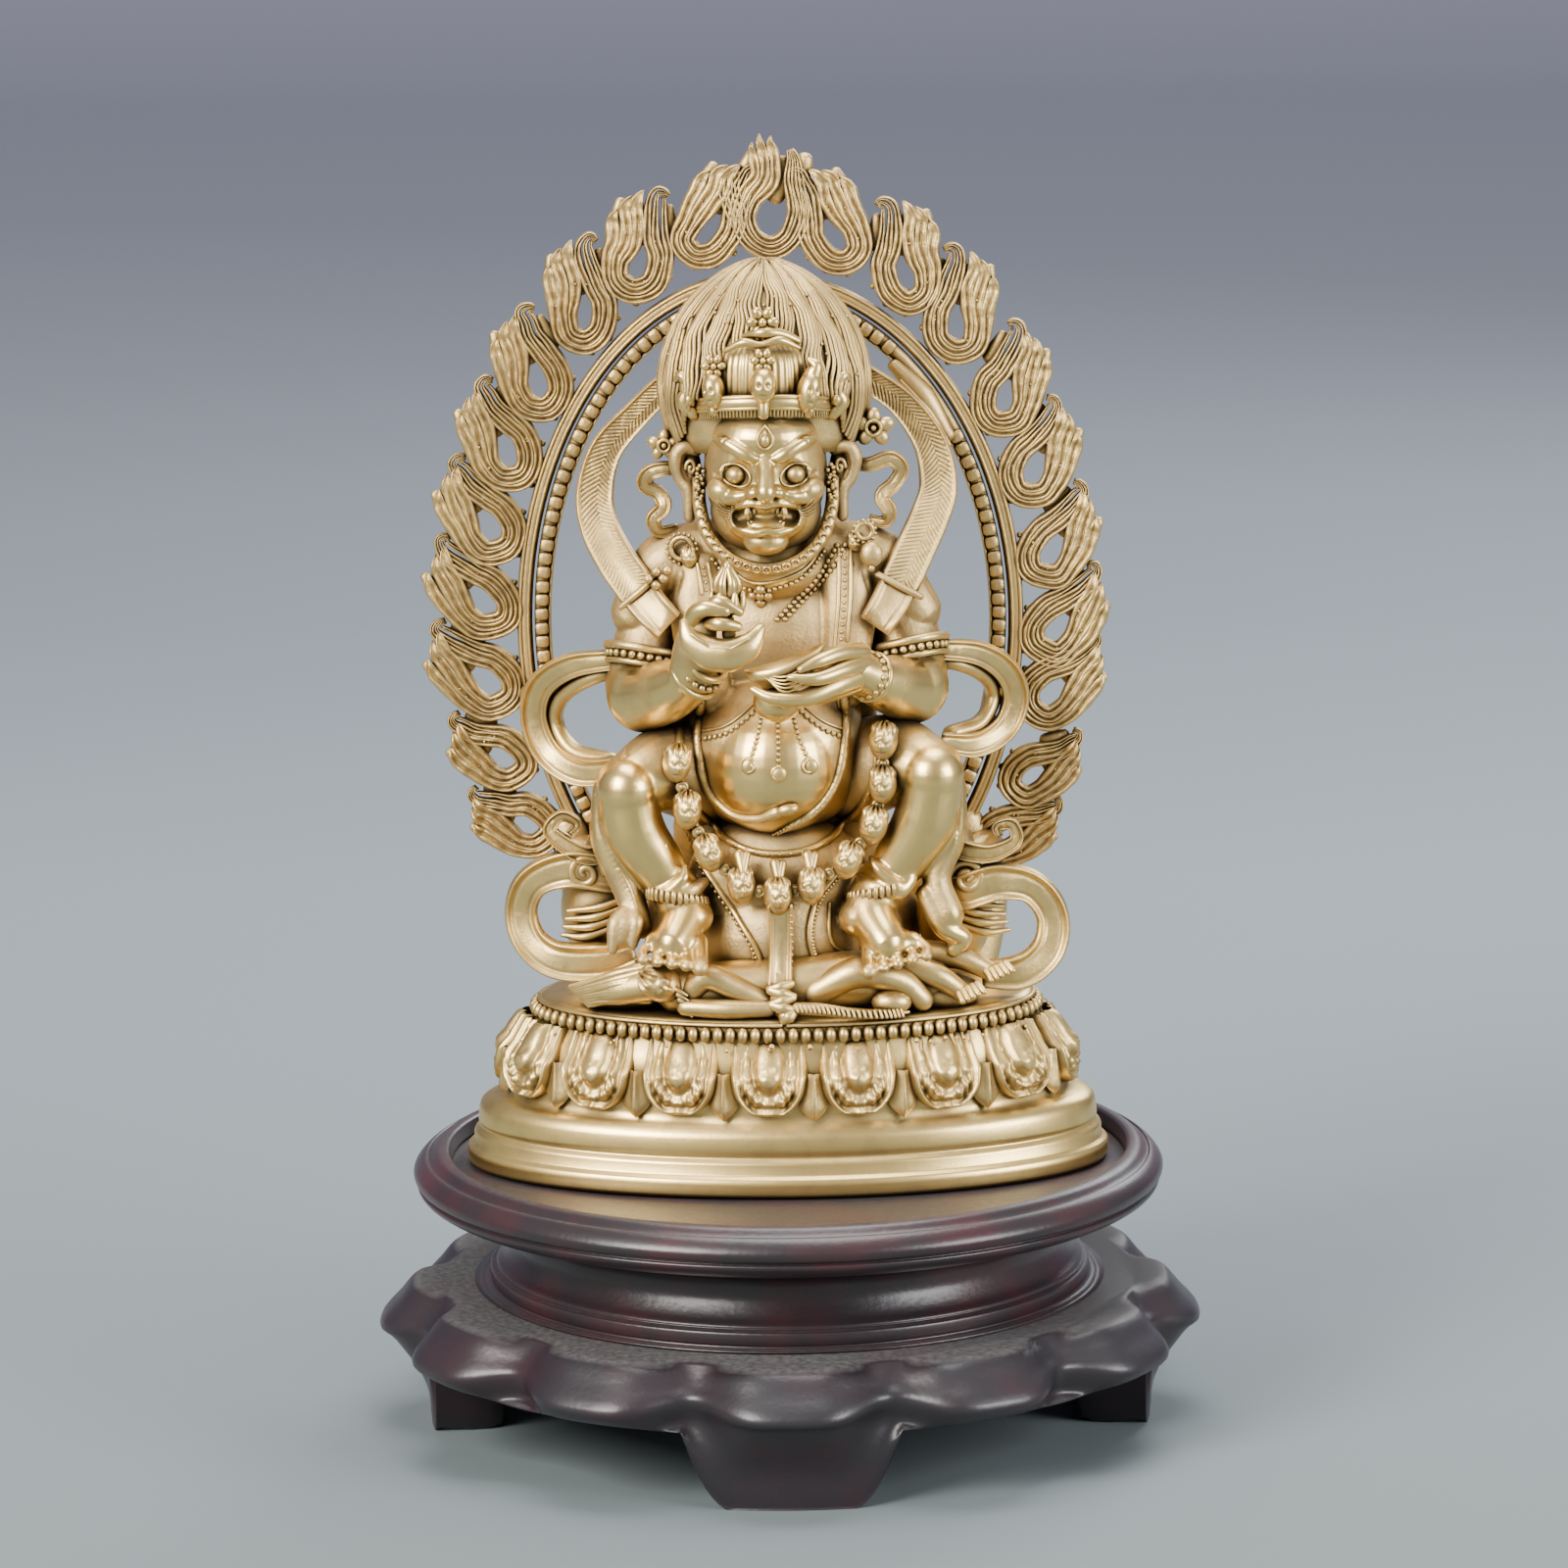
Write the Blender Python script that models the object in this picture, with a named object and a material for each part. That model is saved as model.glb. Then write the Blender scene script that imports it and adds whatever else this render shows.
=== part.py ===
"""Cast brass dharmapala figure with flame aureole, resting on its turned and lobed wood stand."""
import math

import bmesh
import bpy
from mathutils import Euler, Matrix, Vector

# Driving dimensions in metres
FIGURE_TALL = 0.1750
FIT_GAP = 0.0003
TRAY_CLEARANCE = 0.0034
TRAY_RIM_WIDE = 0.0062
TRAY_RECESS = 0.0030
TRAY_TALL = 0.0230
FOOT_PLATE_TALL = 0.0108
FOOT_CLEAR = 0.0135
FOOT_OVERHANG = 0.0060
FOOT_LOBES = 12
BRACKET_FEET = 4

# Sizes that follow from the driving ones
SHARE = FIGURE_TALL / 174.5
BASE_HALF_WIDE = 54.6 * SHARE
BASE_HALF_DEEP = 30.6 * SHARE
TRAY_INNER = BASE_HALF_WIDE + TRAY_CLEARANCE
TRAY_RADIUS = TRAY_INNER + TRAY_RIM_WIDE
WAIST_RADIUS = TRAY_RADIUS * 0.80
LOBE_RADIUS = TRAY_RADIUS + FOOT_OVERHANG
PLATE_TOP = FOOT_CLEAR + FOOT_PLATE_TALL
TRAY_BOTTOM = PLATE_TOP + FIT_GAP
TRAY_TOP = TRAY_BOTTOM + TRAY_TALL
TRAY_FLOOR = TRAY_TOP - TRAY_RECESS
FIGURE_BOTTOM = TRAY_FLOOR + FIT_GAP

# Aureole layout in shares of the figure's height
ARCH_X = -3.25
ARCH_Z = 90.0
ARCH_HALF_LEFT = 47.5
ARCH_HALF_RIGHT = 50.0
ARCH_HALF_TALL = 67.9
AUREOLE_Y = 16.6
CREST_X = -1.2
HEAD_X = -2.5
RING_DROP = 2.4

# Distances of the flame holes from the arch's top, along it
LEFT_HOLES = (8.8, 22.1, 34.7, 48.7, 61.8, 74.8, 87.7, 101.5, 115.2, 127.5)
RIGHT_HOLES = (13.5, 27.1, 39.2, 54.3, 67.5, 81.8, 95.2, 106.4, 121.2, 132.5)
LOW_FROM = 110.0
LOW_SIZE = 0.84


def clear_scene():
    """Removes every object that is there at the start."""
    for thing in list(bpy.data.objects):
        bpy.data.objects.remove(thing, do_unlink=True)


def plain_material(name, colour, metallic, roughness):
    """Returns a Principled material of one colour."""
    material = bpy.data.materials.new(name)
    material.use_nodes = True
    shader = material.node_tree.nodes["Principled BSDF"]
    shader.inputs["Base Color"].default_value = (*colour, 1.0)
    shader.inputs["Metallic"].default_value = metallic
    shader.inputs["Roughness"].default_value = roughness
    return material


def object_from(bm, name, material):
    """Turns a bmesh into a linked object with one material."""
    mesh = bpy.data.meshes.new(name)
    bm.to_mesh(mesh)
    bm.free()
    thing = bpy.data.objects.new(name, mesh)
    bpy.context.collection.objects.link(thing)
    mesh.materials.append(material)
    return thing


# Forms pressed together into one casting
def ball(clay, centre, radii, turn=(0.0, 0.0, 0.0), level=3):
    """Adds an ellipsoid given in shares, with its turn in degrees."""
    angles = [math.radians(v) for v in turn]
    matrix = Matrix.Translation(Vector(centre) * SHARE)
    matrix = matrix @ Euler(angles).to_matrix().to_4x4()
    matrix = matrix @ Matrix.Diagonal((*[r * SHARE for r in radii], 1.0))
    bmesh.ops.create_icosphere(clay, subdivisions=level, radius=1.0, matrix=matrix)


def smooth_path(points, steps):
    """Returns points and blend positions along a Catmull-Rom curve."""
    knots = [Vector(p) for p in points]
    result = []
    for i in range(len(knots) - 1):
        before = knots[i - 1] if i > 0 else knots[i] * 2 - knots[i + 1]
        after = knots[i + 2] if i + 2 < len(knots) else knots[i + 1] * 2 - knots[i]
        start, end = knots[i], knots[i + 1]
        for k in range(steps):
            t = k / steps
            spot = 2 * start + (end - before) * t
            spot = spot + (2 * before - 5 * start + 4 * end - after) * t * t
            spot = spot + (3 * start - before - 3 * end + after) * t * t * t
            result.append((spot / 2, i + t))
    result.append((knots[-1], len(knots) - 1))
    return result


def limb(clay, points, radii, flat=1.0, steps=5, sides=12, depth=(0.0, 1.0, 0.0)):
    """Adds a rounded tube through the points; flat scales its size across the sheet."""
    path = smooth_path(points, steps)
    if isinstance(radii, (int, float)):
        radii = [radii] * len(points)
    rings = []
    for i, (spot, place) in enumerate(path):
        ahead = path[min(i + 1, len(path) - 1)][0]
        behind = path[max(i - 1, 0)][0]
        tangent = (ahead - behind).normalized()
        side = tangent.cross(Vector(depth))
        if side.length < 0.05:
            side = tangent.cross(Vector((1.0, 0.0, 0.0)))
        side.normalize()
        out = side.cross(tangent).normalized()
        low = min(int(place), len(radii) - 1)
        high = min(low + 1, len(radii) - 1)
        radius = radii[low] + (radii[high] - radii[low]) * (place - low)
        rings.append((spot, tangent, side, out, radius))
    full = []
    spot, tangent, side, out, radius = rings[0]
    for k in (1.0, 0.87, 0.5):
        full.append((spot - tangent * radius * flat * k, side, out, radius * math.sqrt(1.02 - k * k)))
    for spot, tangent, side, out, radius in rings:
        full.append((spot, side, out, radius))
    for k in (0.5, 0.87, 1.0):
        full.append((spot + tangent * radius * flat * k, side, out, radius * math.sqrt(1.02 - k * k)))
    rows = []
    for spot, side, out, radius in full:
        row = []
        for k in range(sides):
            angle = 2 * math.pi * k / sides
            offset = side * math.cos(angle) * radius + out * math.sin(angle) * radius * flat
            row.append(clay.verts.new((spot + offset) * SHARE))
        rows.append(row)
    for lower, upper in zip(rows, rows[1:]):
        for k in range(sides):
            n = (k + 1) % sides
            clay.faces.new((lower[k], lower[n], upper[n], upper[k]))
    clay.faces.new(list(reversed(rows[0])))
    clay.faces.new(rows[-1])


def oval_stack(clay, rows, sides=96):
    """Adds a closed loft of ovals, each row half width, half depth and height in shares."""
    rings = []
    for wide, deep, tall in rows:
        ring = []
        for k in range(sides):
            angle = 2 * math.pi * k / sides
            spot = Vector((wide * math.cos(angle), deep * math.sin(angle), tall))
            ring.append(clay.verts.new(spot * SHARE))
        rings.append(ring)
    for lower, upper in zip(rings, rings[1:]):
        for k in range(sides):
            n = (k + 1) % sides
            clay.faces.new((lower[k], lower[n], upper[n], upper[k]))
    clay.faces.new(list(reversed(rings[0])))
    clay.faces.new(rings[-1])


# The aureole's arch: a tall oval walked by arc length from its top
def arch_spot(turn, inset=0.0, drop=0.0):
    """Returns the arch's spot at an angle from its top; left is negative."""
    half = ARCH_HALF_LEFT if turn < 0.0 else ARCH_HALF_RIGHT
    x = ARCH_X + (half - inset) * math.sin(turn)
    return Vector((x, 0.0, ARCH_Z + (ARCH_HALF_TALL - inset - drop) * math.cos(turn)))


def arch_at(distance):
    """Returns the spot and outward direction at an arc length; left of the top is negative."""
    half = ARCH_HALF_LEFT if distance < 0.0 else ARCH_HALF_RIGHT
    angle = 0.0
    walked = 0.0
    step = 0.004
    while walked < abs(distance):
        walked += step * math.hypot(half * math.cos(angle), ARCH_HALF_TALL * math.sin(angle))
        angle += step
    turn = math.copysign(angle, distance)
    out = Vector((math.sin(turn) / half, 0.0, math.cos(turn) / ARCH_HALF_TALL)).normalized()
    return arch_spot(turn), out


def flame(clay, distance, handed):
    """Adds one flame that sweeps in a U round its hole and ends in three tips."""
    spot, out = arch_at(distance)
    rise = Vector((-out.z * handed, 0.0, out.x * handed))
    size = 1.0 if abs(distance) < LOW_FROM else LOW_SIZE

    def place(along, away, depth=0.0):
        """Turns arch offsets into a point of the sheet."""
        point = spot + (rise * along + out * away) * size
        return (point.x, AUREOLE_Y + depth, point.z)

    sweep = [place(10.4, 9.0), place(8.4, 5.8), place(5.9, 1.8), place(3.2, -2.6)]
    sweep += [place(0.2, -4.2), place(-3.0, -3.6), place(-4.8, -0.4), place(-3.8, 3.2)]
    sweep += [place(-1.2, 5.2), place(2.6, 6.8), place(6.8, 9.6)]
    widths = [0.9, 2.0, 2.3, 2.2, 2.1, 2.1, 2.3, 2.8, 3.0, 2.5, 0.8]
    limb(clay, sweep, widths, flat=0.72, steps=3, sides=10)
    tips = [([(-2.6, 5.6), (0.0, 7.4), (2.6, 9.2)], [1.6, 1.5, 0.6])]
    tips += [([(-1.0, 5.6), (1.8, 4.6), (4.2, 4.6)], [1.5, 1.3, 0.7])]
    tips += [([(0.5, 6.4), (4.4, 6.8), (7.4, 8.4)], [1.7, 1.6, 0.6])]
    for knots, radii in tips:
        limb(clay, [place(*knot) for knot in knots], radii, flat=0.9, steps=3, sides=8)
    ball(clay, place(0.6, -6.8), (1.4, 1.3, 1.4), level=2)


def aureole(clay):
    """Adds the ring of rails and blocks and its flames."""
    turns = [math.radians(-146.0 + 292.0 * k / 72) for k in range(73)]
    for inset, radius, flat in ((7.2, 1.6, 0.95), (9.8, 1.4, 1.3)):
        ring = [arch_spot(turn, inset, RING_DROP) + Vector((0.0, AUREOLE_Y, 0.0)) for turn in turns]
        limb(clay, ring, radius, flat=flat, steps=1, sides=8)
    web = [arch_spot(turn, 4.9, 0.8) + Vector((0.0, AUREOLE_Y, 0.0)) for turn in turns[8:-8]]
    limb(clay, web, 2.3, flat=0.5, steps=1, sides=8)
    for distance in LEFT_HOLES:
        flame(clay, -distance, -1.0)
    for distance in RIGHT_HOLES:
        flame(clay, distance, 1.0)
    top = ARCH_Z + ARCH_HALF_TALL

    def crest(knots, widths):
        """Adds one strip of the crest from offsets to its hole."""
        limb(clay, [(CREST_X + x, AUREOLE_Y, top + z) for x, z in knots], widths, flat=0.75, steps=4, sides=8)

    crest([(0.0, -4.4), (-3.8, -2.2), (-4.6, 2.6), (-3.0, 7.2), (-0.9, 11.4), (0.0, 15.7)],
          [2.0, 2.1, 2.5, 2.8, 2.4, 0.7])
    crest([(0.0, -4.4), (3.9, -2.2), (4.9, 2.6), (4.2, 7.4), (4.4, 10.8)], [2.0, 2.1, 2.2, 2.0, 0.7])
    crest([(-4.6, 2.8), (-5.8, 6.2), (-6.2, 9.2)], [2.2, 1.6, 0.6])
    crest([(-1.6, 6.4), (1.2, 8.4), (2.2, 12.4)], [1.8, 1.7, 0.6])
    for side in (-1.0, 1.0):
        foot = [(side * 34.0, AUREOLE_Y, 55.0), (side * 33.5, AUREOLE_Y - 1.0, 42.0)]
        foot += [(side * 30.0, AUREOLE_Y - 3.0, 27.0)]
        limb(clay, foot, [3.2, 4.6, 5.5], flat=0.6)


def lotus_base(clay):
    """Adds the stepped oval plinth, its petals, the bead row and the platform."""
    rows = [(54.4, 30.4, -1.0), (54.4, 30.4, 1.6), (54.6, 30.6, 3.0), (53.4, 29.4, 3.7), (53.2, 29.2, 5.8)]
    rows += [(52.2, 28.2, 6.4), (52.6, 28.6, 7.4), (52.3, 28.3, 10.4), (51.2, 27.2, 11.5), (48.6, 26.2, 12.0)]
    rows += [(49.2, 27.0, 15.0), (48.8, 27.4, 19.0), (46.5, 26.8, 22.5), (42.6, 25.4, 25.6)]
    rows += [(41.6, 25.0, 28.4), (40.8, 24.6, 29.3), (39.4, 23.6, 29.4)]
    oval_stack(clay, rows)
    ring = []
    for k in range(97):
        angle = 2 * math.pi * k / 96
        ring.append((42.4 * math.cos(angle), 25.9 * math.sin(angle), 26.9))
    limb(clay, ring, 1.2, steps=1, sides=8, depth=(0.0, 0.0, 1.0))
    petals = 16
    for k in range(petals * 2):
        spot, out = oval_spot(k / (petals * 2), 48.8, 27.2, -3.3)
        turn = math.degrees(math.atan2(out.y, out.x))
        if k % 2 == 0:
            ball(clay, (spot.x, spot.y, 18.6), (3.0, 6.7, 5.9), (0.0, -12.0, turn))
            bulge = spot + out * 1.6
            ball(clay, (bulge.x, bulge.y, 19.8), (2.2, 2.6, 4.0), (0.0, -10.0, turn), 2)
        else:
            ball(clay, (spot.x, spot.y, 15.8), (2.0, 2.4, 3.4), (0.0, 0.0, turn), 2)


def oval_spot(share, wide, deep, start):
    """Returns a spot an equal-length share of the way round an oval from its front."""
    count = 720
    spots = []
    for k in range(count + 1):
        angle = -math.pi / 2 + 2 * math.pi * k / count
        spots.append(Vector((wide * math.cos(angle), deep * math.sin(angle), 0.0)))
    lengths = [0.0]
    for a, b in zip(spots, spots[1:]):
        lengths.append(lengths[-1] + (b - a).length)
    target = (share * lengths[-1] + start) % lengths[-1]
    index = min(range(count), key=lambda k: abs(lengths[k] - target))
    spot = spots[index]
    out = Vector((spot.x / wide ** 2, spot.y / deep ** 2, 0.0)).normalized()
    return spot, out


def legs_and_body(clay):
    """Adds the squatting body: belly, chest, seat, legs and feet."""
    ball(clay, (-1.2, -4.5, 71.5), (15.6, 14.8, 14.6))
    ball(clay, (-1.2, -8.0, 69.0), (12.4, 13.2, 11.0))
    ball(clay, (-1.4, -1.0, 90.0), (17.0, 10.5, 15.0))
    ball(clay, (-1.6, 1.0, 101.0), (17.5, 7.6, 6.4))
    ball(clay, (-1.0, 3.0, 56.0), (18.0, 12.0, 14.0))
    ball(clay, (-0.5, 4.0, 40.0), (24.0, 12.0, 13.0))
    ball(clay, (-0.5, -8.0, 33.0), (22.0, 12.0, 9.0))
    limb(clay, [(-10.0, 2.0, 65.0), (-19.0, -8.0, 69.0), (-26.2, -14.5, 66.6)], [9.0, 7.6, 5.4])
    limb(clay, [(-26.2, -14.5, 66.4), (-24.2, -14.6, 58.5), (-19.4, -14.0, 50.0)], [5.4, 5.3, 4.2])
    limb(clay, [(-18.8, -13.5, 49.5), (-17.6, -17.0, 44.6), (-18.6, -22.0, 41.8)], [4.2, 4.0, 3.0])
    limb(clay, [(8.0, 2.0, 65.0), (18.0, -8.0, 70.0), (24.6, -14.5, 68.2)], [9.0, 7.6, 5.6])
    limb(clay, [(24.6, -14.5, 68.0), (22.6, -14.6, 59.5), (16.6, -14.0, 51.0)], [5.6, 5.4, 4.2])
    limb(clay, [(16.0, -13.5, 50.0), (15.2, -17.0, 44.8), (18.2, -22.0, 41.2)], [4.2, 4.0, 3.0])
    for k in range(5):
        across = -22.4 + 2.4 * k
        ball(clay, (across, -24.2 - 0.6 * min(k, 3), 40.4 - 0.3 * k), (1.25, 2.6, 1.2), level=2)
        across = 14.0 + 2.1 * k
        ball(clay, (across, -24.8 + 0.3 * k, 38.6 + 0.5 * k), (1.2, 2.6, 1.2), level=2)
    for side, foot_x, foot_z in ((-1, -18.0, 48.6), (1, 15.6, 49.4)):
        ball(clay, (foot_x, -13.8, foot_z), (5.2, 5.2, 1.3))


def arms(clay):
    """Adds the arms, the hands with chopper and skull cup, and the shawl over the shoulders."""
    limb(clay, [(-17.0, 0.5, 100.5), (-22.4, -2.0, 91.0), (-24.2, -5.0, 81.6)], [5.4, 6.0, 6.4])
    limb(clay, [(-23.6, -7.0, 80.8), (-19.0, -16.0, 84.0), (-14.2, -22.0, 88.0)], [6.2, 5.4, 3.9])
    ball(clay, (-15.0, -21.4, 87.0), (4.9, 3.0, 4.9), (0.0, 45.0, 30.0))
    ball(clay, (-11.2, -24.6, 94.6), (3.9, 3.2, 4.4))
    limb(clay, [(-14.8, -26.0, 98.6), (-11.4, -28.2, 99.4), (-8.4, -27.0, 98.8)], [1.5, 1.6, 1.3])
    limb(clay, [(-15.6, -25.6, 95.6), (-13.0, -28.2, 93.4), (-7.6, -29.2, 92.2), (-3.0, -28.0, 94.8)],
         [1.4, 2.2, 2.6, 1.3], flat=0.8)
    limb(clay, [(-9.8, -25.5, 97.0), (-9.8, -25.5, 102.0)], [1.7, 1.9])
    ball(clay, (-9.8, -25.5, 104.0), (2.6, 2.6, 2.7))
    limb(clay, [(15.0, 0.5, 100.5), (20.6, -2.0, 92.0), (22.2, -5.0, 82.8)], [5.4, 6.0, 6.4])
    limb(clay, [(21.6, -7.0, 81.6), (16.0, -17.0, 83.6), (9.0, -22.5, 86.6)], [6.2, 5.0, 3.4])
    limb(clay, [(18.0, -18.5, 91.0), (10.0, -23.0, 90.6), (2.6, -27.0, 89.2)], [1.6, 2.2, 1.5])
    limb(clay, [(13.0, -19.5, 88.4), (6.0, -24.5, 87.4), (0.0, -27.4, 84.6)], [2.8, 2.3, 1.4])
    ball(clay, (0.4, -25.0, 88.0), (7.2, 4.2, 2.8), (0.0, -12.0, 0.0))
    ball(clay, (-1.2, -23.5, 83.8), (4.2, 3.6, 2.8))
    limb(clay, [(-27.6, -5.0, 88.0), (-20.6, -9.5, 90.4)], [1.6, 1.5])
    limb(clay, [(27.0, -5.0, 93.4), (19.6, -9.5, 92.4)], [1.6, 1.5])
    limb(clay, [(-9.0, -3.0, 106.0), (-19.0, -2.0, 103.0), (-24.4, -3.0, 95.0)], [5.0, 5.6, 4.2])
    limb(clay, [(6.5, -3.0, 106.0), (16.5, -2.0, 103.0), (22.4, -3.0, 95.4)], [5.0, 5.6, 4.2])


def head(clay):
    """Adds the head with brows, nose, beard, ears, skull crown, hair and ear ornaments."""
    ball(clay, (HEAD_X, -6.5, 119.0), (10.6, 11.4, 13.6))
    ball(clay, (HEAD_X, -7.5, 112.4), (9.0, 9.6, 8.0))
    ball(clay, (HEAD_X, -16.8, 117.4), (2.2, 2.6, 2.4))
    for side in (-1.0, 1.0):
        ball(clay, (HEAD_X + side * 5.2, -15.6, 124.6), (3.2, 1.6, 1.0), (0.0, side * -18.0, 0.0), 2)
        ball(clay, (HEAD_X + side * 4.9, -14.8, 122.0), (1.7, 1.6, 1.7), level=2)
        ball(clay, (HEAD_X + side * 6.2, -14.4, 117.6), (2.2, 2.2, 1.9), level=2)
        ball(clay, (HEAD_X + side * 12.6, -5.0, 117.6), (2.2, 2.4, 6.6))
    ball(clay, (HEAD_X, -15.8, 111.2), (3.8, 2.2, 2.2))
    beard = [(-13.6, -8.5, 118.0), (-12.6, -10.5, 111.5), (-8.4, -13.4, 107.4), (-3.0, -14.6, 105.9)]
    beard += [(2.2, -13.4, 107.6), (6.6, -10.5, 112.0), (7.8, -8.5, 118.0)]
    limb(clay, beard, 1.3, sides=8)
    crown = []
    for k in range(33):
        angle = 2 * math.pi * k / 32
        crown.append((HEAD_X + 11.6 * math.cos(angle), -5.4 + 11.2 * math.sin(angle), 131.4))
    limb(clay, crown, 1.6, steps=1, sides=8, depth=(0.0, 0.0, 1.0))
    for k in range(-2, 3):
        angle = math.radians(-90.0 + 38.0 * k)
        spot = (HEAD_X + 11.6 * math.cos(angle), -5.4 + 11.2 * math.sin(angle), 135.4)
        ball(clay, spot, (1.9, 1.9, 2.9), level=2)
        ball(clay, (spot[0], spot[1], 139.2), (1.1, 1.1, 1.1), level=2)
    ball(clay, (HEAD_X, -4.0, 134.0), (12.0, 11.0, 9.0))
    locks = 15
    for k in range(locks):
        angle = math.radians(-180.0 + 360.0 * k / locks)
        reach = math.cos(angle)
        back = math.sin(angle)
        top = 154.0 - 10.0 * reach * reach - 1.6 * abs(back)
        low = [(HEAD_X + 10.0 * reach, -1.0 + 6.4 * back, 130.0), (HEAD_X + 14.2 * reach, -1.0 + 7.6 * back, 138.0)]
        high = [(HEAD_X + 13.8 * reach, 1.0 + 7.0 * back, top - 5.0), (HEAD_X + 11.2 * reach, 2.6 + 5.0 * back, top)]
        limb(clay, low + high, [3.2, 4.2, 3.8, 1.6])
    ball(clay, (HEAD_X, 1.0, 140.0), (13.6, 9.0, 13.4))
    ball(clay, (HEAD_X, 2.4, 151.0), (7.0, 6.0, 5.0))
    ball(clay, (-3.4, -8.4, 144.6), (2.2, 2.4, 2.4), level=2)
    ball(clay, (-21.0, -3.0, 124.6), (2.4, 2.0, 2.4), level=2)
    ball(clay, (14.0, -3.0, 127.0), (2.8, 2.0, 2.8), level=2)
    limb(clay, [(-14.5, -2.0, 126.0), (-21.0, -3.0, 124.6)], 1.3)
    limb(clay, [(8.5, -2.0, 126.5), (14.0, -3.0, 127.0)], 1.3)
    for side, edge in ((-1.0, -16.6), (1.0, 10.6)):
        tail = [(edge, -3.0, 123.0), (edge + side * 5.4, -3.0, 121.4), (edge + side * 2.6, -3.4, 117.2)]
        tail += [(edge + side * 5.0, -3.6, 113.6), (edge + side * 0.8, -3.0, 111.6)]
        limb(clay, tail, [1.6, 1.9, 1.7, 1.8, 1.3])


def ribbons(clay):
    """Adds the scarf halo, the loops beside the arms and the scrolls beside the legs."""
    halo = [(-15.0, 3.0, 134.8), (-21.1, 4.5, 130.3), (-26.2, 5.5, 125.0), (-29.9, 5.2, 120.2)]
    halo += [(-31.3, 4.0, 114.0), (-30.4, 1.0, 108.6), (-27.4, -4.6, 103.8), (-23.9, -9.0, 99.4)]
    halo += [(-19.6, -11.4, 94.6)]
    limb(clay, halo, [2.1, 2.4, 2.6, 3.0, 3.3, 3.4, 3.4, 3.4, 3.2], flat=0.42)
    halo = [(11.0, 3.0, 135.4), (17.1, 4.6, 131.5), (22.6, 5.6, 126.2), (25.6, 5.0, 120.6), (26.5, 2.6, 115.0)]
    halo += [(25.0, -1.2, 110.4), (21.9, -6.0, 104.6), (19.5, -9.0, 100.1), (16.9, -11.4, 94.2)]
    limb(clay, halo, [2.2, 2.5, 2.7, 3.0, 3.3, 3.5, 3.6, 3.4, 3.2], flat=0.42)
    loop = [(-24.0, -3.0, 86.6), (-32.0, -2.0, 85.4), (-39.2, 1.0, 82.0), (-41.8, 3.0, 75.6)]
    loop += [(-38.2, 3.0, 69.0), (-31.6, 0.0, 67.0), (-25.0, -3.0, 70.0)]
    limb(clay, loop, [1.7, 2.0, 2.4, 2.5, 2.7, 2.6, 2.2], flat=1.1)
    limb(clay, [(-39.4, 6.0, 78.0), (-41.5, 12.0, 77.0), (-43.0, 16.0, 77.0)], [2.0, 2.2, 2.4])
    limb(clay, [(-30.0, 3.0, 83.0), (-36.2, 4.0, 78.0), (-36.4, 5.0, 71.0), (-30.0, 2.0, 68.0)],
         [1.6, 1.7, 1.7, 1.8])
    loop = [(22.0, -3.0, 87.6), (29.4, -2.0, 86.9), (35.8, 1.0, 84.0), (38.8, 3.0, 78.6), (37.2, 3.0, 73.0)]
    loop += [(31.6, 0.0, 70.6), (25.0, -3.0, 73.0)]
    limb(clay, loop, [1.7, 1.9, 2.3, 2.4, 2.4, 2.4, 2.0], flat=1.1)
    limb(clay, [(37.0, 6.0, 79.0), (38.6, 12.0, 78.6), (39.4, 16.0, 78.6)], [1.8, 2.0, 2.2])
    scroll = [(-24.0, -6.0, 52.0), (-31.0, -7.0, 51.6), (-37.4, -7.0, 51.6), (-42.4, -6.0, 48.6)]
    scroll += [(-43.6, -6.0, 43.6), (-41.6, -7.0, 38.6), (-37.2, -8.0, 36.2), (-30.0, -8.0, 36.4)]
    limb(clay, scroll, [2.8, 2.8, 2.6, 2.3, 2.2, 2.3, 2.5, 2.8])
    limb(clay, [(-30.6, -6.6, 57.0), (-36.4, -7.0, 56.6), (-38.0, -7.0, 59.6), (-35.4, -6.6, 60.6)],
         [2.0, 1.9, 1.6, 1.0])
    ball(clay, (-33.8, -8.4, 52.6), (3.2, 3.0, 3.0), level=2)
    ball(clay, (-31.0, -2.0, 44.0), (7.0, 6.0, 10.0))
    scroll = [(24.0, -6.0, 55.4), (30.4, -7.0, 54.4), (35.4, -7.0, 53.6), (38.4, -6.6, 56.4)]
    scroll += [(36.0, -6.4, 58.4)]
    limb(clay, scroll, [2.2, 2.0, 1.8, 1.6, 1.0])
    scroll = [(26.0, -6.0, 46.6), (32.4, -7.0, 47.4), (38.6, -7.0, 48.0), (43.0, -6.0, 45.0)]
    scroll += [(44.2, -6.0, 39.8), (41.4, -7.0, 35.0), (36.6, -8.0, 33.4), (30.0, -8.0, 33.6)]
    limb(clay, scroll, [2.8, 2.6, 2.4, 2.2, 2.2, 2.3, 2.4, 2.8])
    ball(clay, (30.4, -7.6, 50.4), (3.0, 2.6, 3.0), level=2)
    ball(clay, (28.6, -2.0, 43.0), (6.4, 6.0, 10.0))
    limb(clay, [(22.0, -10.0, 50.0), (26.0, -12.0, 47.0), (28.6, -12.4, 43.4), (24.6, -13.4, 41.2)],
         [1.8, 1.8, 1.7, 1.2])
    for side in (-1.0, 1.0):
        limb(clay, [(side * 30.0, 3.0, 50.0), (side * 33.0, 10.0, 50.0), (side * 34.5, 16.0, 50.0)], 3.6)


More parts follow.
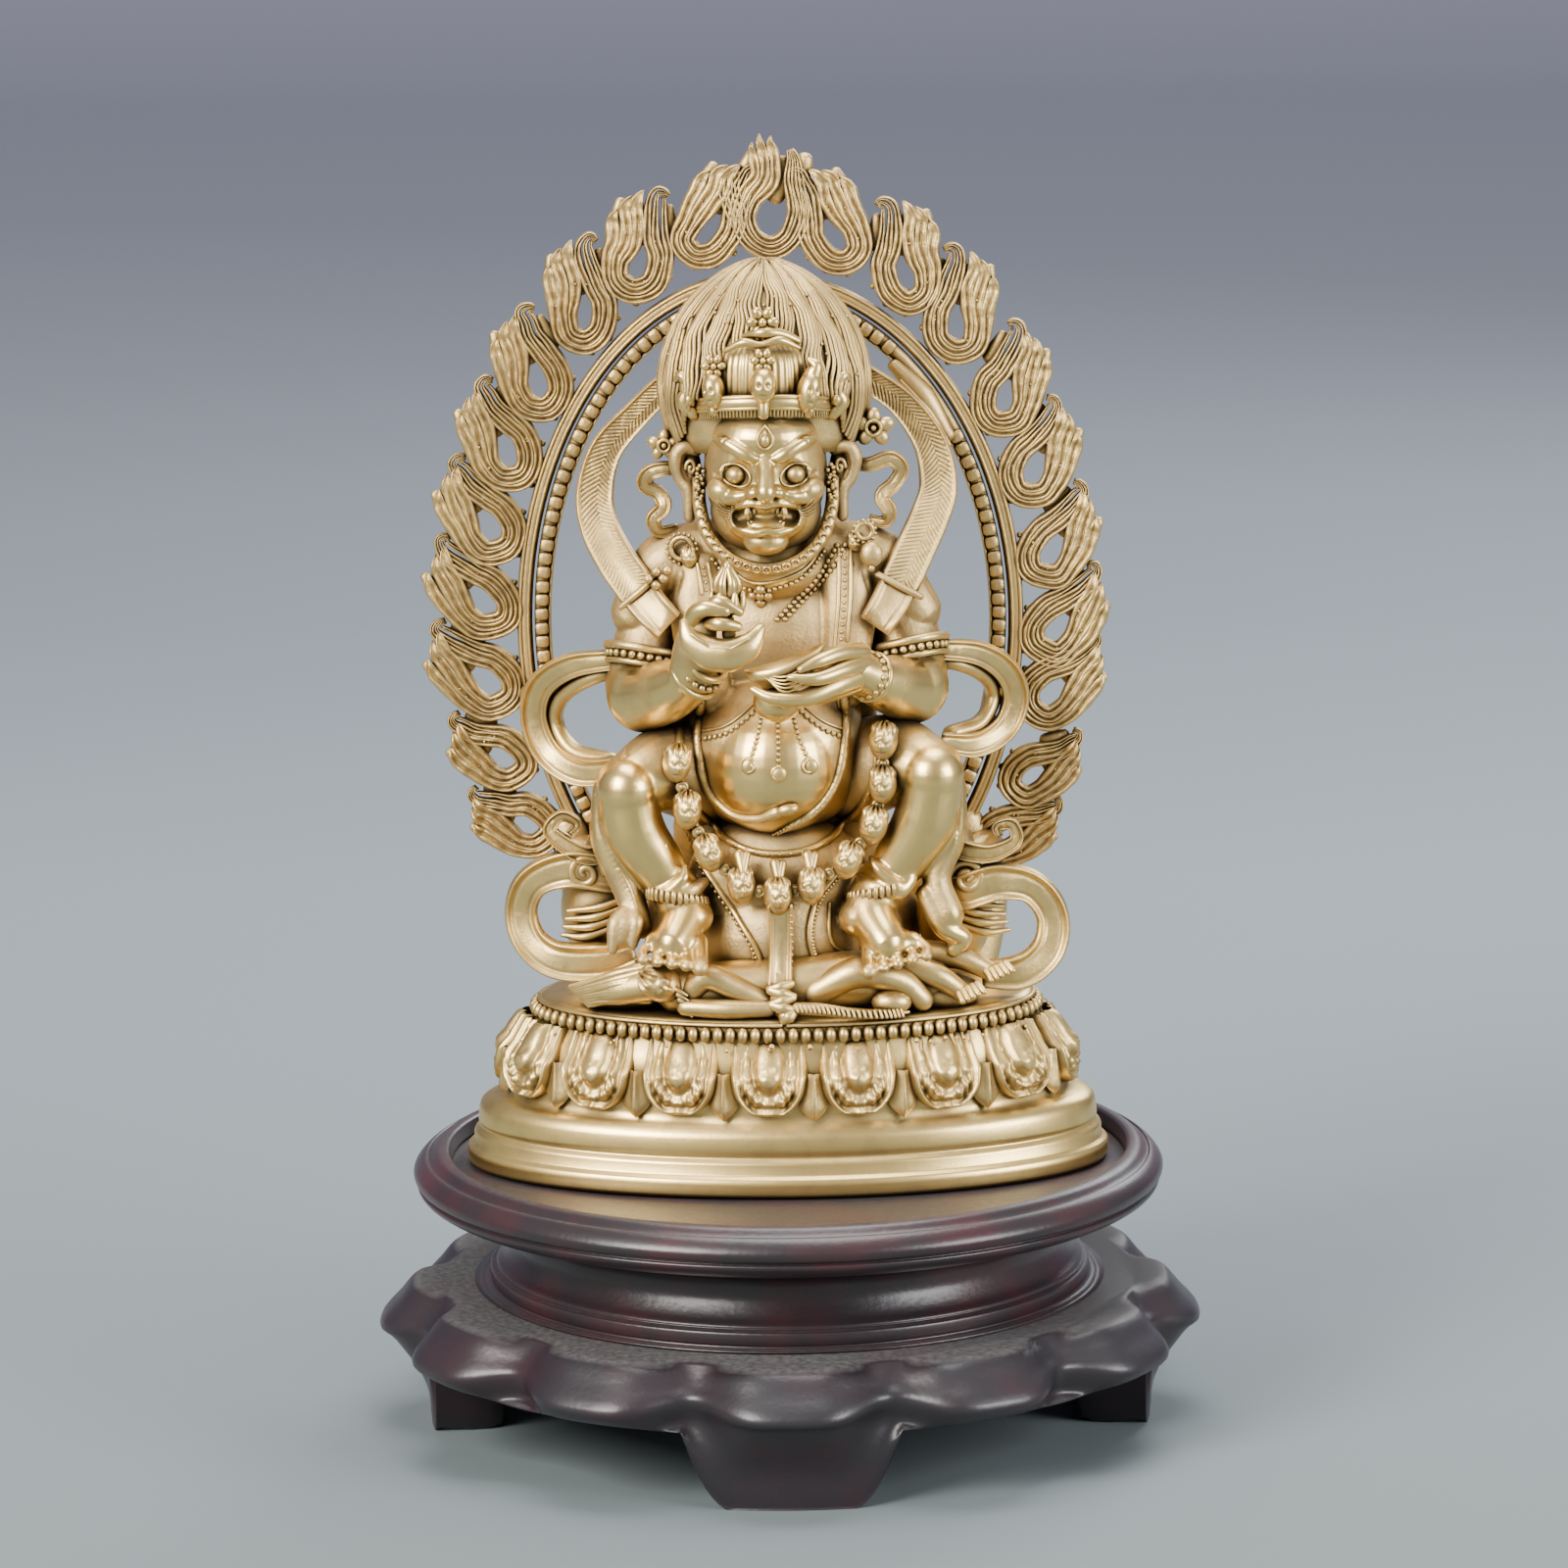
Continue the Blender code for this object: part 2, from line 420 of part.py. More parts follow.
def garland_and_skirt(clay):
    """Adds the hanging heads, the sash, the skirt folds and the body lying underfoot."""
    for k in range(10):
        share = (k / 9.0) * 2.0 - 1.0
        bend = math.sin(share * math.pi / 2)
        across = -0.6 + 17.6 * bend
        drop = 50.2 + 24.0 * abs(share) ** 2.6
        front = -19.6 + 3.4 * abs(share)
        ball(clay, (across, front, drop), (2.2, 2.1, 2.7), level=2)
    ball(clay, (-1.0, -9.0, 49.0), (15.0, 8.4, 12.0))
    limb(clay, [(-0.8, -17.6, 48.6), (-0.6, -18.6, 40.0), (-1.0, -23.0, 33.0), (0.2, -24.4, 30.0)],
         [2.2, 2.0, 2.0, 2.2], flat=0.7)
    for side in (-1.0, 1.0):
        hem = [(side * 15.4, -14.0, 57.0), (side * 9.6, -17.0, 44.0), (side * 3.6, -19.6, 34.4)]
        limb(clay, hem, [1.6, 2.4, 2.0], flat=0.8)
    limb(clay, [(2.0, -23.0, 31.0), (8.0, -22.4, 31.0), (18.6, -19.6, 30.4)], [1.4, 1.6, 1.2], flat=0.7)
    ball(clay, (-20.6, -19.6, 35.0), (3.2, 3.2, 3.0))
    limb(clay, [(-18.0, -18.0, 33.6), (-4.0, -17.0, 34.0), (12.0, -16.6, 34.0), (24.0, -14.4, 33.6)],
         [3.8, 4.6, 4.6, 3.8])
    for k in range(5):
        drop = 36.4 - 1.6 * k
        limb(clay, [(-22.0, -18.4, drop - 0.6), (-28.0, -16.6, drop - 1.6), (-34.6 + k, -14.0, 31.6)],
             [1.3, 1.4, 0.9], sides=8)
    limb(clay, [(-16.6, -20.0, 33.0), (-12.2, -20.6, 37.0), (-5.6, -20.4, 31.8)], [1.9, 2.4, 1.9])
    limb(clay, [(20.0, -16.0, 36.4), (26.6, -17.0, 34.6), (31.0, -15.6, 31.8)], [2.6, 2.0, 1.6])
    limb(clay, [(22.0, -11.0, 37.0), (30.0, -11.6, 36.6), (35.4, -11.6, 33.0)], [2.6, 2.0, 1.6])
    limb(clay, [(8.6, -20.2, 34.0), (16.0, -19.6, 36.2), (22.4, -17.6, 35.2)], [2.2, 2.6, 2.0])


def settle(clay, name, material, triangles):
    """Fuses the pressed forms into one casting, thins its facets and trims the underside."""
    rough = object_from(clay, name + "_rough", material)
    fuse = rough.modifiers.new("fuse", "REMESH")
    fuse.mode = "VOXEL"
    fuse.voxel_size = 0.62 * SHARE
    fuse.adaptivity = 0.0
    bpy.context.view_layer.update()
    graph = bpy.context.evaluated_depsgraph_get()
    dense = bpy.data.meshes.new_from_object(rough.evaluated_get(graph))
    body = bmesh.new()
    body.from_mesh(dense)
    bpy.data.objects.remove(rough, do_unlink=True)
    seen = set()
    groups = []
    for start in body.verts:
        if start in seen:
            continue
        group = [start]
        seen.add(start)
        for vert in group:
            for edge in vert.link_edges:
                other = edge.other_vert(vert)
                if other not in seen:
                    seen.add(other)
                    group.append(other)
        groups.append(group)
    groups.sort(key=len)
    for group in groups[:-1]:
        bmesh.ops.delete(body, geom=group, context="VERTS")
    figure = object_from(body, name, material)
    thin = figure.modifiers.new("thin", "DECIMATE")
    thin.ratio = triangles / (2.0 * len(figure.data.polygons))
    bpy.context.view_layer.update()
    graph = bpy.context.evaluated_depsgraph_get()
    facets = bpy.data.meshes.new_from_object(figure.evaluated_get(graph))
    bpy.data.objects.remove(figure, do_unlink=True)
    body = bmesh.new()
    body.from_mesh(facets)
    geometry = body.verts[:] + body.edges[:] + body.faces[:]
    bmesh.ops.bisect_plane(body, geom=geometry, plane_co=(0.0, 0.0, 0.0), plane_no=(0.0, 0.0, -1.0),
                           clear_outer=True, dist=0.00001)
    rim = [edge for edge in body.edges if edge.is_boundary]
    bmesh.ops.contextual_create(body, geom=rim)
    bmesh.ops.triangulate(body, faces=body.faces[:])
    bmesh.ops.recalc_face_normals(body, faces=body.faces[:])
    bmesh.ops.translate(body, verts=body.verts[:], vec=(0.0, 0.0, FIGURE_BOTTOM))
    return object_from(body, name, material)


def cast_figure(material):
    """Builds the whole casting as one solid."""
    clay = bmesh.new()
    lotus_base(clay)
    legs_and_body(clay)
    arms(clay)
    head(clay)
    ribbons(clay)
    garland_and_skirt(clay)
    aureole(clay)
    return settle(clay, "cast_figure", material, 6900)


# Turned tray of the stand
def stand_tray(material, sides=48):
    """Turns the tray from its half profile."""
    rim_low = TRAY_BOTTOM + TRAY_TALL * 0.62
    profile = [(0.0, TRAY_BOTTOM), (WAIST_RADIUS - 0.0006, TRAY_BOTTOM)]
    profile += [(WAIST_RADIUS, TRAY_BOTTOM + TRAY_TALL * 0.04), (WAIST_RADIUS, TRAY_BOTTOM + TRAY_TALL * 0.11)]
    profile += [(WAIST_RADIUS - 0.0014, TRAY_BOTTOM + TRAY_TALL * 0.15)]
    profile += [(WAIST_RADIUS - 0.0036, TRAY_BOTTOM + TRAY_TALL * 0.30)]
    profile += [(WAIST_RADIUS - 0.0034, TRAY_BOTTOM + TRAY_TALL * 0.46), (TRAY_RADIUS - 0.0080, rim_low - 0.0004)]
    profile += [(TRAY_RADIUS - 0.0030, rim_low + 0.0006), (TRAY_RADIUS - 0.0003, rim_low + 0.0026)]
    profile += [(TRAY_RADIUS - 0.0004, rim_low + 0.0046), (TRAY_RADIUS - 0.0022, TRAY_TOP - 0.0016)]
    profile += [(TRAY_RADIUS - 0.0040, TRAY_TOP - 0.0004), (TRAY_INNER + 0.0006, TRAY_TOP)]
    profile += [(TRAY_INNER, TRAY_TOP - 0.0005), (TRAY_INNER - 0.0006, TRAY_FLOOR), (0.0, TRAY_FLOOR)]
    bm = bmesh.new()
    rings = []
    for radius, tall in profile:
        if radius == 0.0:
            rings.append([bm.verts.new((0.0, 0.0, tall))])
            continue
        ring = []
        for k in range(sides):
            angle = 2 * math.pi * k / sides
            ring.append(bm.verts.new((radius * math.cos(angle), radius * math.sin(angle), tall)))
        rings.append(ring)
    for lower, upper in zip(rings, rings[1:]):
        for k in range(sides):
            n = (k + 1) % sides
            if len(lower) == 1:
                bm.faces.new((lower[0], upper[n], upper[k]))
            elif len(upper) == 1:
                bm.faces.new((lower[k], lower[n], upper[0]))
            else:
                bm.faces.new((lower[k], lower[n], upper[n], upper[k]))
    bmesh.ops.recalc_face_normals(bm, faces=bm.faces[:])
    return object_from(bm, "stand_tray", material)


# Lobed plate with four bracket feet
def foot_rows(angle):
    """Returns the rows of the lobed plate at one angle as radius and height."""
    lobe = math.cos(angle * FOOT_LOBES)
    notch = (0.5 - 0.5 * lobe) ** 2.2
    quarter = 2 * math.pi / BRACKET_FEET
    off = abs((angle + quarter / 2) % quarter - quarter / 2)
    spread = math.radians(9.0)
    flare = math.radians(7.5)
    drop = min(max((off - spread) / flare, 0.0), 1.0)
    leg = math.cos(drop * math.pi / 2) ** 0.7 if drop < 1.0 else 0.0
    under = FOOT_CLEAR * (1.0 - leg)
    rows = [(LOBE_RADIUS - 0.0064 - 0.0030 * notch, PLATE_TOP - 0.0022 * notch)]
    rows += [(LOBE_RADIUS - 0.0032 - 0.0050 * notch, PLATE_TOP - 0.0032 - 0.0004 * notch)]
    rows += [(LOBE_RADIUS - 0.0066 * notch, PLATE_TOP - 0.0072 + 0.0016 * notch)]
    rows += [(LOBE_RADIUS - 0.0024 - 0.0056 * notch, FOOT_CLEAR + 0.0012)]
    rows += [(LOBE_RADIUS - 0.0060 - 0.0016 * leg, FOOT_CLEAR - (FOOT_CLEAR - under) * 0.45)]
    rows += [(LOBE_RADIUS - 0.0072 - 0.0014 * leg, under + 0.0006 * leg)]
    rows += [(LOBE_RADIUS - 0.0084 - 0.0014 * leg, under)]
    rows += [(LOBE_RADIUS - 0.0200, under), (LOBE_RADIUS - 0.0230, FOOT_CLEAR)]
    return rows


def stand_foot(material, sides=72):
    """Builds the lobed plate and its feet as one carved piece."""
    bm = bmesh.new()
    columns = []
    for k in range(sides):
        angle = 2 * math.pi * k / sides
        column = []
        for radius, tall in foot_rows(angle):
            spot = (radius * math.sin(angle), -radius * math.cos(angle), tall)
            column.append(bm.verts.new(spot))
        columns.append(column)
    count = len(columns[0])
    for k in range(sides):
        n = (k + 1) % sides
        for j in range(count - 1):
            bm.faces.new((columns[k][j], columns[k][j + 1], columns[n][j + 1], columns[n][j]))
    inner = bmesh.ops.create_circle(bm, segments=sides, radius=LOBE_RADIUS - 0.0105,
                                    matrix=Matrix.Translation((0.0, 0.0, PLATE_TOP)))["verts"]
    order = sorted(inner, key=lambda v: math.atan2(v.co.x, -v.co.y) % (2 * math.pi))
    for k in range(sides):
        angle = 2 * math.pi * k / sides
        radius = LOBE_RADIUS - 0.0105
        order[k].co = (radius * math.sin(angle), -radius * math.cos(angle), PLATE_TOP)
    for k in range(sides):
        n = (k + 1) % sides
        bm.faces.new((order[k], columns[k][0], columns[n][0], order[n]))
    bm.faces.new(order)
    bm.faces.new([column[-1] for column in reversed(columns)])
    bmesh.ops.triangulate(bm, faces=bm.faces[:])
    bmesh.ops.recalc_face_normals(bm, faces=bm.faces[:])
    return object_from(bm, "stand_foot", material)


clear_scene()
BRASS = plain_material("brass", (0.62, 0.44, 0.20), 1.0, 0.36)
TRAY_WOOD = plain_material("tray_wood", (0.045, 0.012, 0.016), 0.0, 0.30)
FOOT_WOOD = plain_material("foot_wood", (0.030, 0.014, 0.018), 0.0, 0.36)
cast_figure(BRASS)
stand_tray(TRAY_WOOD)
stand_foot(FOOT_WOOD)
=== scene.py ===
"""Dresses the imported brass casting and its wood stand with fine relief, finishes, studio and camera."""

import logging
import math
from collections.abc import Callable
from dataclasses import dataclass, field
from enum import Enum

import bpy
import numpy as np
from mathutils import Euler, Matrix, Vector
from mathutils.bvhtree import BVHTree


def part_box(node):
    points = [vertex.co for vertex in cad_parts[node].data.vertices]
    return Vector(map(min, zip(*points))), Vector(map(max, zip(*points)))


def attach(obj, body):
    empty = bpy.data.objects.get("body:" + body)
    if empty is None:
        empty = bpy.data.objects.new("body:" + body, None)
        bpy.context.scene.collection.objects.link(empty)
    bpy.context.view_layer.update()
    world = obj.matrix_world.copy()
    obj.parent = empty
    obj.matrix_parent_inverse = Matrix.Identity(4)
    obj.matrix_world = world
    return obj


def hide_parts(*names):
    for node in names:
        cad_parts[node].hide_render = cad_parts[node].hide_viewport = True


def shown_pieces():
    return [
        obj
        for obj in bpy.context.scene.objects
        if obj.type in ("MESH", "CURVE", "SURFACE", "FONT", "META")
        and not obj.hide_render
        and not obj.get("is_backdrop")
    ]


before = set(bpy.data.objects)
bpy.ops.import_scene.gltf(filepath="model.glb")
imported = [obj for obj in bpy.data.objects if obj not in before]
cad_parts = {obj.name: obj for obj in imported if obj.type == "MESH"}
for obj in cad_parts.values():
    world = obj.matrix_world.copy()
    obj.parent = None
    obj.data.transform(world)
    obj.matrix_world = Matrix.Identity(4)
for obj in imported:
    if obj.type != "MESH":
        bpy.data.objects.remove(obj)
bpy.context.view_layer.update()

LOG = logging.getLogger("casting")
Spot = tuple[float, float, float]
Thing = bpy.types.Object
Carving = Callable[[np.ndarray, np.ndarray], np.ndarray]
Socket = bpy.types.NodeSocket
# All sizes of the figure are in shares: 174.5 of them make its 0.1750 m.
SHARE = 0.1750 / 174.5
ORIGIN = np.array((0.0, 0.0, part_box("cast_figure")[0][2]))
HEAD_X = -2.5
# Shares of the triangles kept in the melted skins and in the other brass pieces.
SKIN_KEPT, PIECE_KEPT = 0.40, 0.68


class Finish(Enum):
    """Named treatments of the brass, each with how polished it is.

    MIXED reads the mesh's own polish attribute.
    """

    GRAINED = 0.22
    BRIGHT = 0.55
    POLISHED = 0.85
    MIXED = None


class Clay:
    """Collects closed forms, in shares of the figure's height, into one mesh."""

    def __init__(self) -> None:
        """Starts with nothing."""
        self.points: list[np.ndarray] = []
        self.quads: list[np.ndarray] = []
        self.fans: list[list[int]] = []
        self.count = 0

    def skin(self, rows: np.ndarray, caps: bool = True, round_way: bool = True) -> None:
        """Adds a grid of points as a tube or sheet.

        Args:
            rows: array of row, column and coordinate.
            caps: closes the first and last row with one face each.
            round_way: joins the last column to the first.
        """
        count, sides = rows.shape[:2]
        index = np.arange(count * sides).reshape(count, sides) + self.count
        if round_way:
            index = np.concatenate([index, index[:, :1]], axis=1)
        quads = np.stack([index[:-1, :-1], index[:-1, 1:], index[1:, 1:], index[1:, :-1]],
            axis=-1).reshape(-1, 4)
        points = rows.reshape(-1, 3)
        a, b, c, d = (points[quads[:, k] - self.count] for k in range(4))
        middle = points.mean(axis=0) * ((1.0, 1.0, 1.0) if round_way else (0.0, 0.0, 1.0))
        inward = float(np.sum(((a + c) / 2 - middle) * np.cross(c - a, d - b))) < 0.0
        turn = -1 if inward else 1
        self.quads.append(quads[:, ::turn])
        if caps:
            self.fans.append(list(index[0, :sides][::-turn]))
            self.fans.append(list(index[-1, :sides][::turn]))
        self.points.append(points)
        self.count += count * sides

    def ball(self, centre: Spot, radii: Spot | float, turn: Spot = (0.0, 0.0, 0.0), fine: int = 16) -> None:
        """Adds an ellipsoid with its turn in degrees, or a sphere of one radius."""
        lat = np.linspace(0.02, math.pi - 0.02, max(fine // 2, 5))
        lon = np.linspace(0.0, 2 * math.pi, fine, endpoint=False)
        grid = np.stack([np.outer(np.sin(lat), np.cos(lon)), np.outer(np.sin(lat), np.sin(lon)),
            np.outer(np.cos(lat), np.ones(fine))], axis=-1) * np.array(radii)
        spin = np.array(Euler([math.radians(v) for v in turn]).to_matrix())
        self.skin((grid @ spin.T + np.array(centre))[::-1])

    def limb(self, points: list, radii: float | list[float], flat: float = 1.0, steps: int = 6,
            sides: int = 12, depth: Spot = (0.0, 1.0, 0.0)) -> None:
        """Adds a rounded tube through points.

        Args:
            points: knots of a smooth path.
            radii: one radius, or one for each knot.
            flat: size across the sheet as a share of the radius.
            steps: rows between knots.
            sides: columns around.
            depth: direction across the sheet.
        """
        path, places = smooth_path(points, steps)
        if isinstance(radii, (int, float)):
            radii = [radii] * len(points)
        radius = np.interp(places, np.arange(len(radii)), radii)
        tangent = np.gradient(path, axis=0)
        tangent /= np.linalg.norm(tangent, axis=1, keepdims=True) + 1e-12
        side = np.cross(tangent, np.array(depth))
        weak = np.linalg.norm(side, axis=1) < 0.05
        side[weak] = np.cross(tangent[weak], np.array((1.0, 0.0, 0.0)))
        side /= np.linalg.norm(side, axis=1, keepdims=True)
        out = np.cross(side, tangent)
        caps = np.array([1.0, 0.87, 0.5])
        head = path[:1] - tangent[:1] * radius[0] * min(flat, 1.0) * caps[:, None]
        tail = path[-1:] + tangent[-1:] * radius[-1] * min(flat, 1.0) * caps[::-1, None]
        shrink = np.sqrt(1.02 - caps * caps)
        path = np.concatenate([head, path, tail])
        radius = np.concatenate([radius[0] * shrink, radius, radius[-1] * shrink[::-1]])
        side = np.concatenate([side[[0] * 3], side, side[[-1] * 3]])
        out = np.concatenate([out[[0] * 3], out, out[[-1] * 3]])
        angle = np.linspace(0.0, 2 * math.pi, sides, endpoint=False)
        rows = path[:, None] + (side[:, None] * np.cos(angle)[:, None] + out[:, None] * np.sin(angle)[:, None]
            * flat) * radius[:, None, None]
        self.skin(rows)

    def band(self, path: list, half: list[float], thick: list[float], shape: Carving, columns: int = 29,
            depth: Spot = (0.0, 1.0, 0.0), back: float = 0.8, ends: Callable | None = None) -> None:
        """Adds a closed strip whose faces are carved by a function.

        Args:
            path: dense points of the middle line.
            half: half widths along it.
            thick: half thicknesses along it.
            shape: gives the thickness share at places across and along.
            columns: points across.
            depth: direction through the strip.
            back: thickness of the rear half as a share of the front half.
            ends: gives how far each place across runs along the line.
        """
        line = np.array([tuple(p) for p in path], dtype=float)
        through = np.array(depth) / np.linalg.norm(depth)
        tangent = np.gradient(line, axis=0)
        tangent /= np.linalg.norm(tangent, axis=1, keepdims=True) + 1e-12
        side = np.cross(tangent, through)
        side /= np.linalg.norm(side, axis=1, keepdims=True) + 1e-12
        walked = walk(line)
        place = walked / walked[-1]
        across = np.linspace(-1.0, 1.0, columns)
        far = np.ones(columns) if ends is None else ends(across)
        spot = np.linspace(0.0, 1.0, len(line))[:, None] * far[None]
        wide = np.interp(spot, np.linspace(0.0, 1.0, len(half)), half)
        deep = np.interp(spot, np.linspace(0.0, 1.0, len(thick)), thick)
        base = np.stack([np.interp(spot, place, line[:, k]) for k in range(3)], axis=-1)
        sides = np.stack([np.interp(spot, place, side[:, k]) for k in range(3)], axis=-1)
        base = base + sides * (across * wide)[..., None]
        edge = np.clip((1.0 - np.abs(across)) * 7.0, 0.02, 1.0) ** 0.5
        crest = shape(across * np.ones_like(spot), spot * walked[-1]) * edge * deep
        front = base - through * crest[..., None]
        rear = base + through * (crest * back)[..., None]
        self.skin(np.concatenate([front, rear[:, -2:0:-1]], axis=1))

    def mask(self, centre: Spot, radii: Spot, turn: Spot = (0.0, 0.0, 0.0), bare: bool = False) -> None:
        """Adds a small carved head that faces the front.

        Args:
            centre: middle of the head.
            radii: its half sizes.
            turn: its turn in degrees.
            bare: a bald skull with round sockets in place of a haired head.
        """
        lat = np.linspace(0.03, math.pi - 0.03, 34)
        lon = np.linspace(0.0, 2 * math.pi, 52, endpoint=False)
        x = np.outer(np.sin(lat), np.cos(lon))
        y = np.outer(np.sin(lat), np.sin(lon))
        z = np.outer(np.cos(lat), np.ones(52))
        front = np.clip(-y * 2.0, 0.0, 1.0)
        spot = np.abs(x)
        eye = np.hypot((spot - 0.34) / 0.15, (z - (0.10 if bare else 0.16)) / (0.15 if bare else 0.10))
        lift = -0.24 * np.exp(-eye ** 4) if bare else 0.10 * np.exp(-eye ** 2) - 0.10 * np.exp(-(eye
            - 1.5) ** 2 * 5)
        lift = lift - (0.16 if bare else 0.10) * np.exp(-((z + 0.50 - (0.35 if bare else 0.0) * x * x)
            / 0.055) ** 2 - (x / 0.36) ** 6)
        lift = lift - 0.07 * np.exp(-((z + 0.10) / 0.10) ** 2 - (x / 0.10) ** 2) * (1.0 if bare else 0.0)
        if not bare:
            lift = lift + 0.26 * np.exp(-(x / 0.12) ** 2 - ((z + 0.10) / 0.20) ** 2)
            lift = lift + 0.11 * np.exp(-((z - 0.36 + 0.2 * spot) / 0.08) ** 2 - (spot / 0.5) ** 4)
            lift = lift + 0.07 * np.exp(-((z + 0.42) / 0.05) ** 2 - (x / 0.25) ** 4)
        grow = 1.0 + lift * front
        if not bare:
            comb = np.clip((z - 0.52 + np.clip(y, 0.0, 1.0) * 0.6) * 5.0, 0.0, 1.0)
            grow = grow + comb * (0.10 + 0.10 * np.cos(13.0 * np.arctan2(y - 0.2, x)))
        grid = np.stack([x * (0.92 + 0.10 * z), y, z], axis=-1) * grow[..., None] * np.array(radii)
        spin = np.array(Euler([math.radians(v) for v in turn]).to_matrix())
        self.skin(grid @ spin.T + np.array(centre))

    def ring(self, centre: Spot, axis: Spot, radius: float, thick: float, squash: float = 1.0,
            bead: float = 0.0) -> None:
        """Adds a hoop, or a hoop of beads, round an axis.

        Args:
            centre: its middle.
            axis: direction that it goes round.
            radius: from the middle to the hoop.
            thick: radius of the hoop's own section.
            squash: size of the hoop's second way across as a share of the first.
            bead: pitch of beads, or 0 for a plain hoop.
        """
        way = Vector(axis).normalized()
        first = way.cross(Vector((0.0, 0.0, 1.0) if abs(way.z) < 0.9 else (0.0, 1.0, 0.0))).normalized()
        second = way.cross(first) * squash
        count = 28 if not bead else max(int(2 * math.pi * radius / bead), 6)
        spots = []
        for turn in turns_round(count):
            spots.append(tuple(Vector(centre) + (first * math.cos(turn) + second * math.sin(turn)) * radius))
        if bead:
            for spot in spots:
                self.ball(spot, thick, fine=10)
        else:
            self.limb(spots + spots[:1], thick, steps=1, sides=10, depth=tuple(way))

    def beads(self, points: list, radius: float, pitch: float, fine: int = 10) -> None:
        """Adds a row of beads along a smooth path."""
        path, _ = smooth_path(points, 12)
        walked = walk(path)
        count = max(int(walked[-1] / pitch), 1)
        for target in (np.arange(count) + 0.5) * walked[-1] / count:
            spot = [float(np.interp(target, walked, path[:, axis])) for axis in range(3)]
            self.ball(tuple(spot), radius, fine=fine)

    def build(self, name: str) -> Thing:
        """Returns the forms as one smooth-shaded object in metres."""
        points = np.concatenate(self.points) * SHARE + ORIGIN
        mesh = bpy.data.meshes.new(name)
        faces = np.concatenate(self.quads).tolist() + [list(map(int, fan)) for fan in self.fans]
        mesh.from_pydata(points.tolist(), [], faces)
        mesh.validate()
        mesh.shade_smooth()
        thing = bpy.data.objects.new(name, mesh)
        bpy.context.collection.objects.link(thing)
        return thing


def smooth_path(points: list, steps: int) -> tuple[np.ndarray, np.ndarray]:
    """Returns points and knot positions along a Catmull-Rom curve."""
    knots = np.array([tuple(p) for p in points], dtype=float)
    if steps <= 1:
        return knots, np.arange(len(knots), dtype=float)
    full = np.concatenate([2 * knots[:1] - knots[1:2], knots, 2 * knots[-1:] - knots[-2:-1]])
    t = (np.arange(steps) / steps)[:, None]
    parts = []
    for i in range(len(knots) - 1):
        a, b, c, d = full[i:i + 4]
        parts.append((2 * b + (c - a) * t + (2 * a - 5 * b + 4 * c - d) * t ** 2 + (3 * b - a - 3 * c + d)
            * t ** 3) / 2)
    parts.append(knots[-1:])
    places = np.arange((len(knots) - 1) * steps + 1) / steps
    return np.concatenate(parts), places


def walk(line: np.ndarray) -> np.ndarray:
    """Returns the distance walked to each point of a line."""
    return np.concatenate([[0.0], np.cumsum(np.linalg.norm(np.diff(line, axis=0), axis=1))])


def turns_round(count: int) -> list[float]:
    """Returns equal turns round a circle, in radians."""
    return [2 * math.pi * k / count for k in range(count)]


def rows_of(mesh: bpy.types.Mesh, name: str) -> np.ndarray:
    """Returns one row of three numbers for each vertex, its place or its normal."""
    flat = np.empty(len(mesh.vertices) * 3)
    mesh.vertices.foreach_get(name, flat)
    return flat.reshape(-1, 3)


def applied(thing: Thing) -> bpy.types.Mesh:
    """Returns a smooth mesh of the object with its modifiers applied."""
    bpy.context.view_layer.update()
    mesh = bpy.data.meshes.new_from_object(thing.evaluated_get(bpy.context.evaluated_depsgraph_get()))
    mesh.shade_smooth()
    return mesh


def fuse(thing: Thing, voxel: float, smooth: int = 2) -> Thing:
    """Melts overlapping forms into one skin.

    Args:
        thing: object whose closed forms overlap.
        voxel: cell size in shares.
        smooth: rounds of smoothing after it.

    Returns:
        The new object under the same name.
    """
    melt = thing.modifiers.new("melt", "REMESH")
    melt.mode = "VOXEL"
    melt.voxel_size = voxel * SHARE
    if smooth:
        soften = thing.modifiers.new("soften", "SMOOTH")
        soften.iterations = smooth
        soften.factor = 0.5
    mesh, name = applied(thing), thing.name
    bpy.data.objects.remove(thing, do_unlink=True)
    result = bpy.data.objects.new(name, mesh)
    result.name = name
    bpy.context.collection.objects.link(result)
    return result


def thin(thing: Thing, share: float) -> None:
    """Merges triangles where the skin is nearly flat.

    Args:
        thing: object whose mesh is replaced.
        share: share of the triangles that stays.
    """
    merge = thing.modifiers.new("thin", "DECIMATE")
    merge.ratio = share
    mesh = applied(thing)
    thing.modifiers.remove(merge)
    thing.data = mesh


def polish_spots(thing: Thing, spots: list[tuple[Spot, float]], base: float = 0.0) -> None:
    """Stores how polished each point is, from round patches given in shares."""
    mesh = thing.data
    points = (rows_of(mesh, "co") - ORIGIN) / SHARE
    value = np.full(len(points), base)
    for centre, radius in spots:
        near = 1.0 - np.linalg.norm(points - np.array(centre), axis=1) / radius
        value = np.maximum(value, np.clip(near * 3.0, 0.0, 1.0))
    layer = mesh.attributes.new("polish", "FLOAT", "POINT")
    layer.data.foreach_set("value", value)


def wear(thing: Thing, material: bpy.types.Material, node: str = "cast_figure") -> None:
    """Gives a piece its material, hangs it under the root body and hides the CAD node it stands for."""
    thing.data.materials.clear()
    thing.data.materials.append(material)
    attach(thing, "root")
    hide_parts(node)


def rimmed(across: np.ndarray, along: np.ndarray) -> np.ndarray:
    """Gives a plain strip with raised edges and a fine line inside each."""
    rim = np.exp(-((np.abs(across) - 0.82) / 0.13) ** 2)
    line = np.exp(-((np.abs(across) - 0.50) / 0.06) ** 2)
    return 0.62 + 0.38 * rim - 0.10 * line


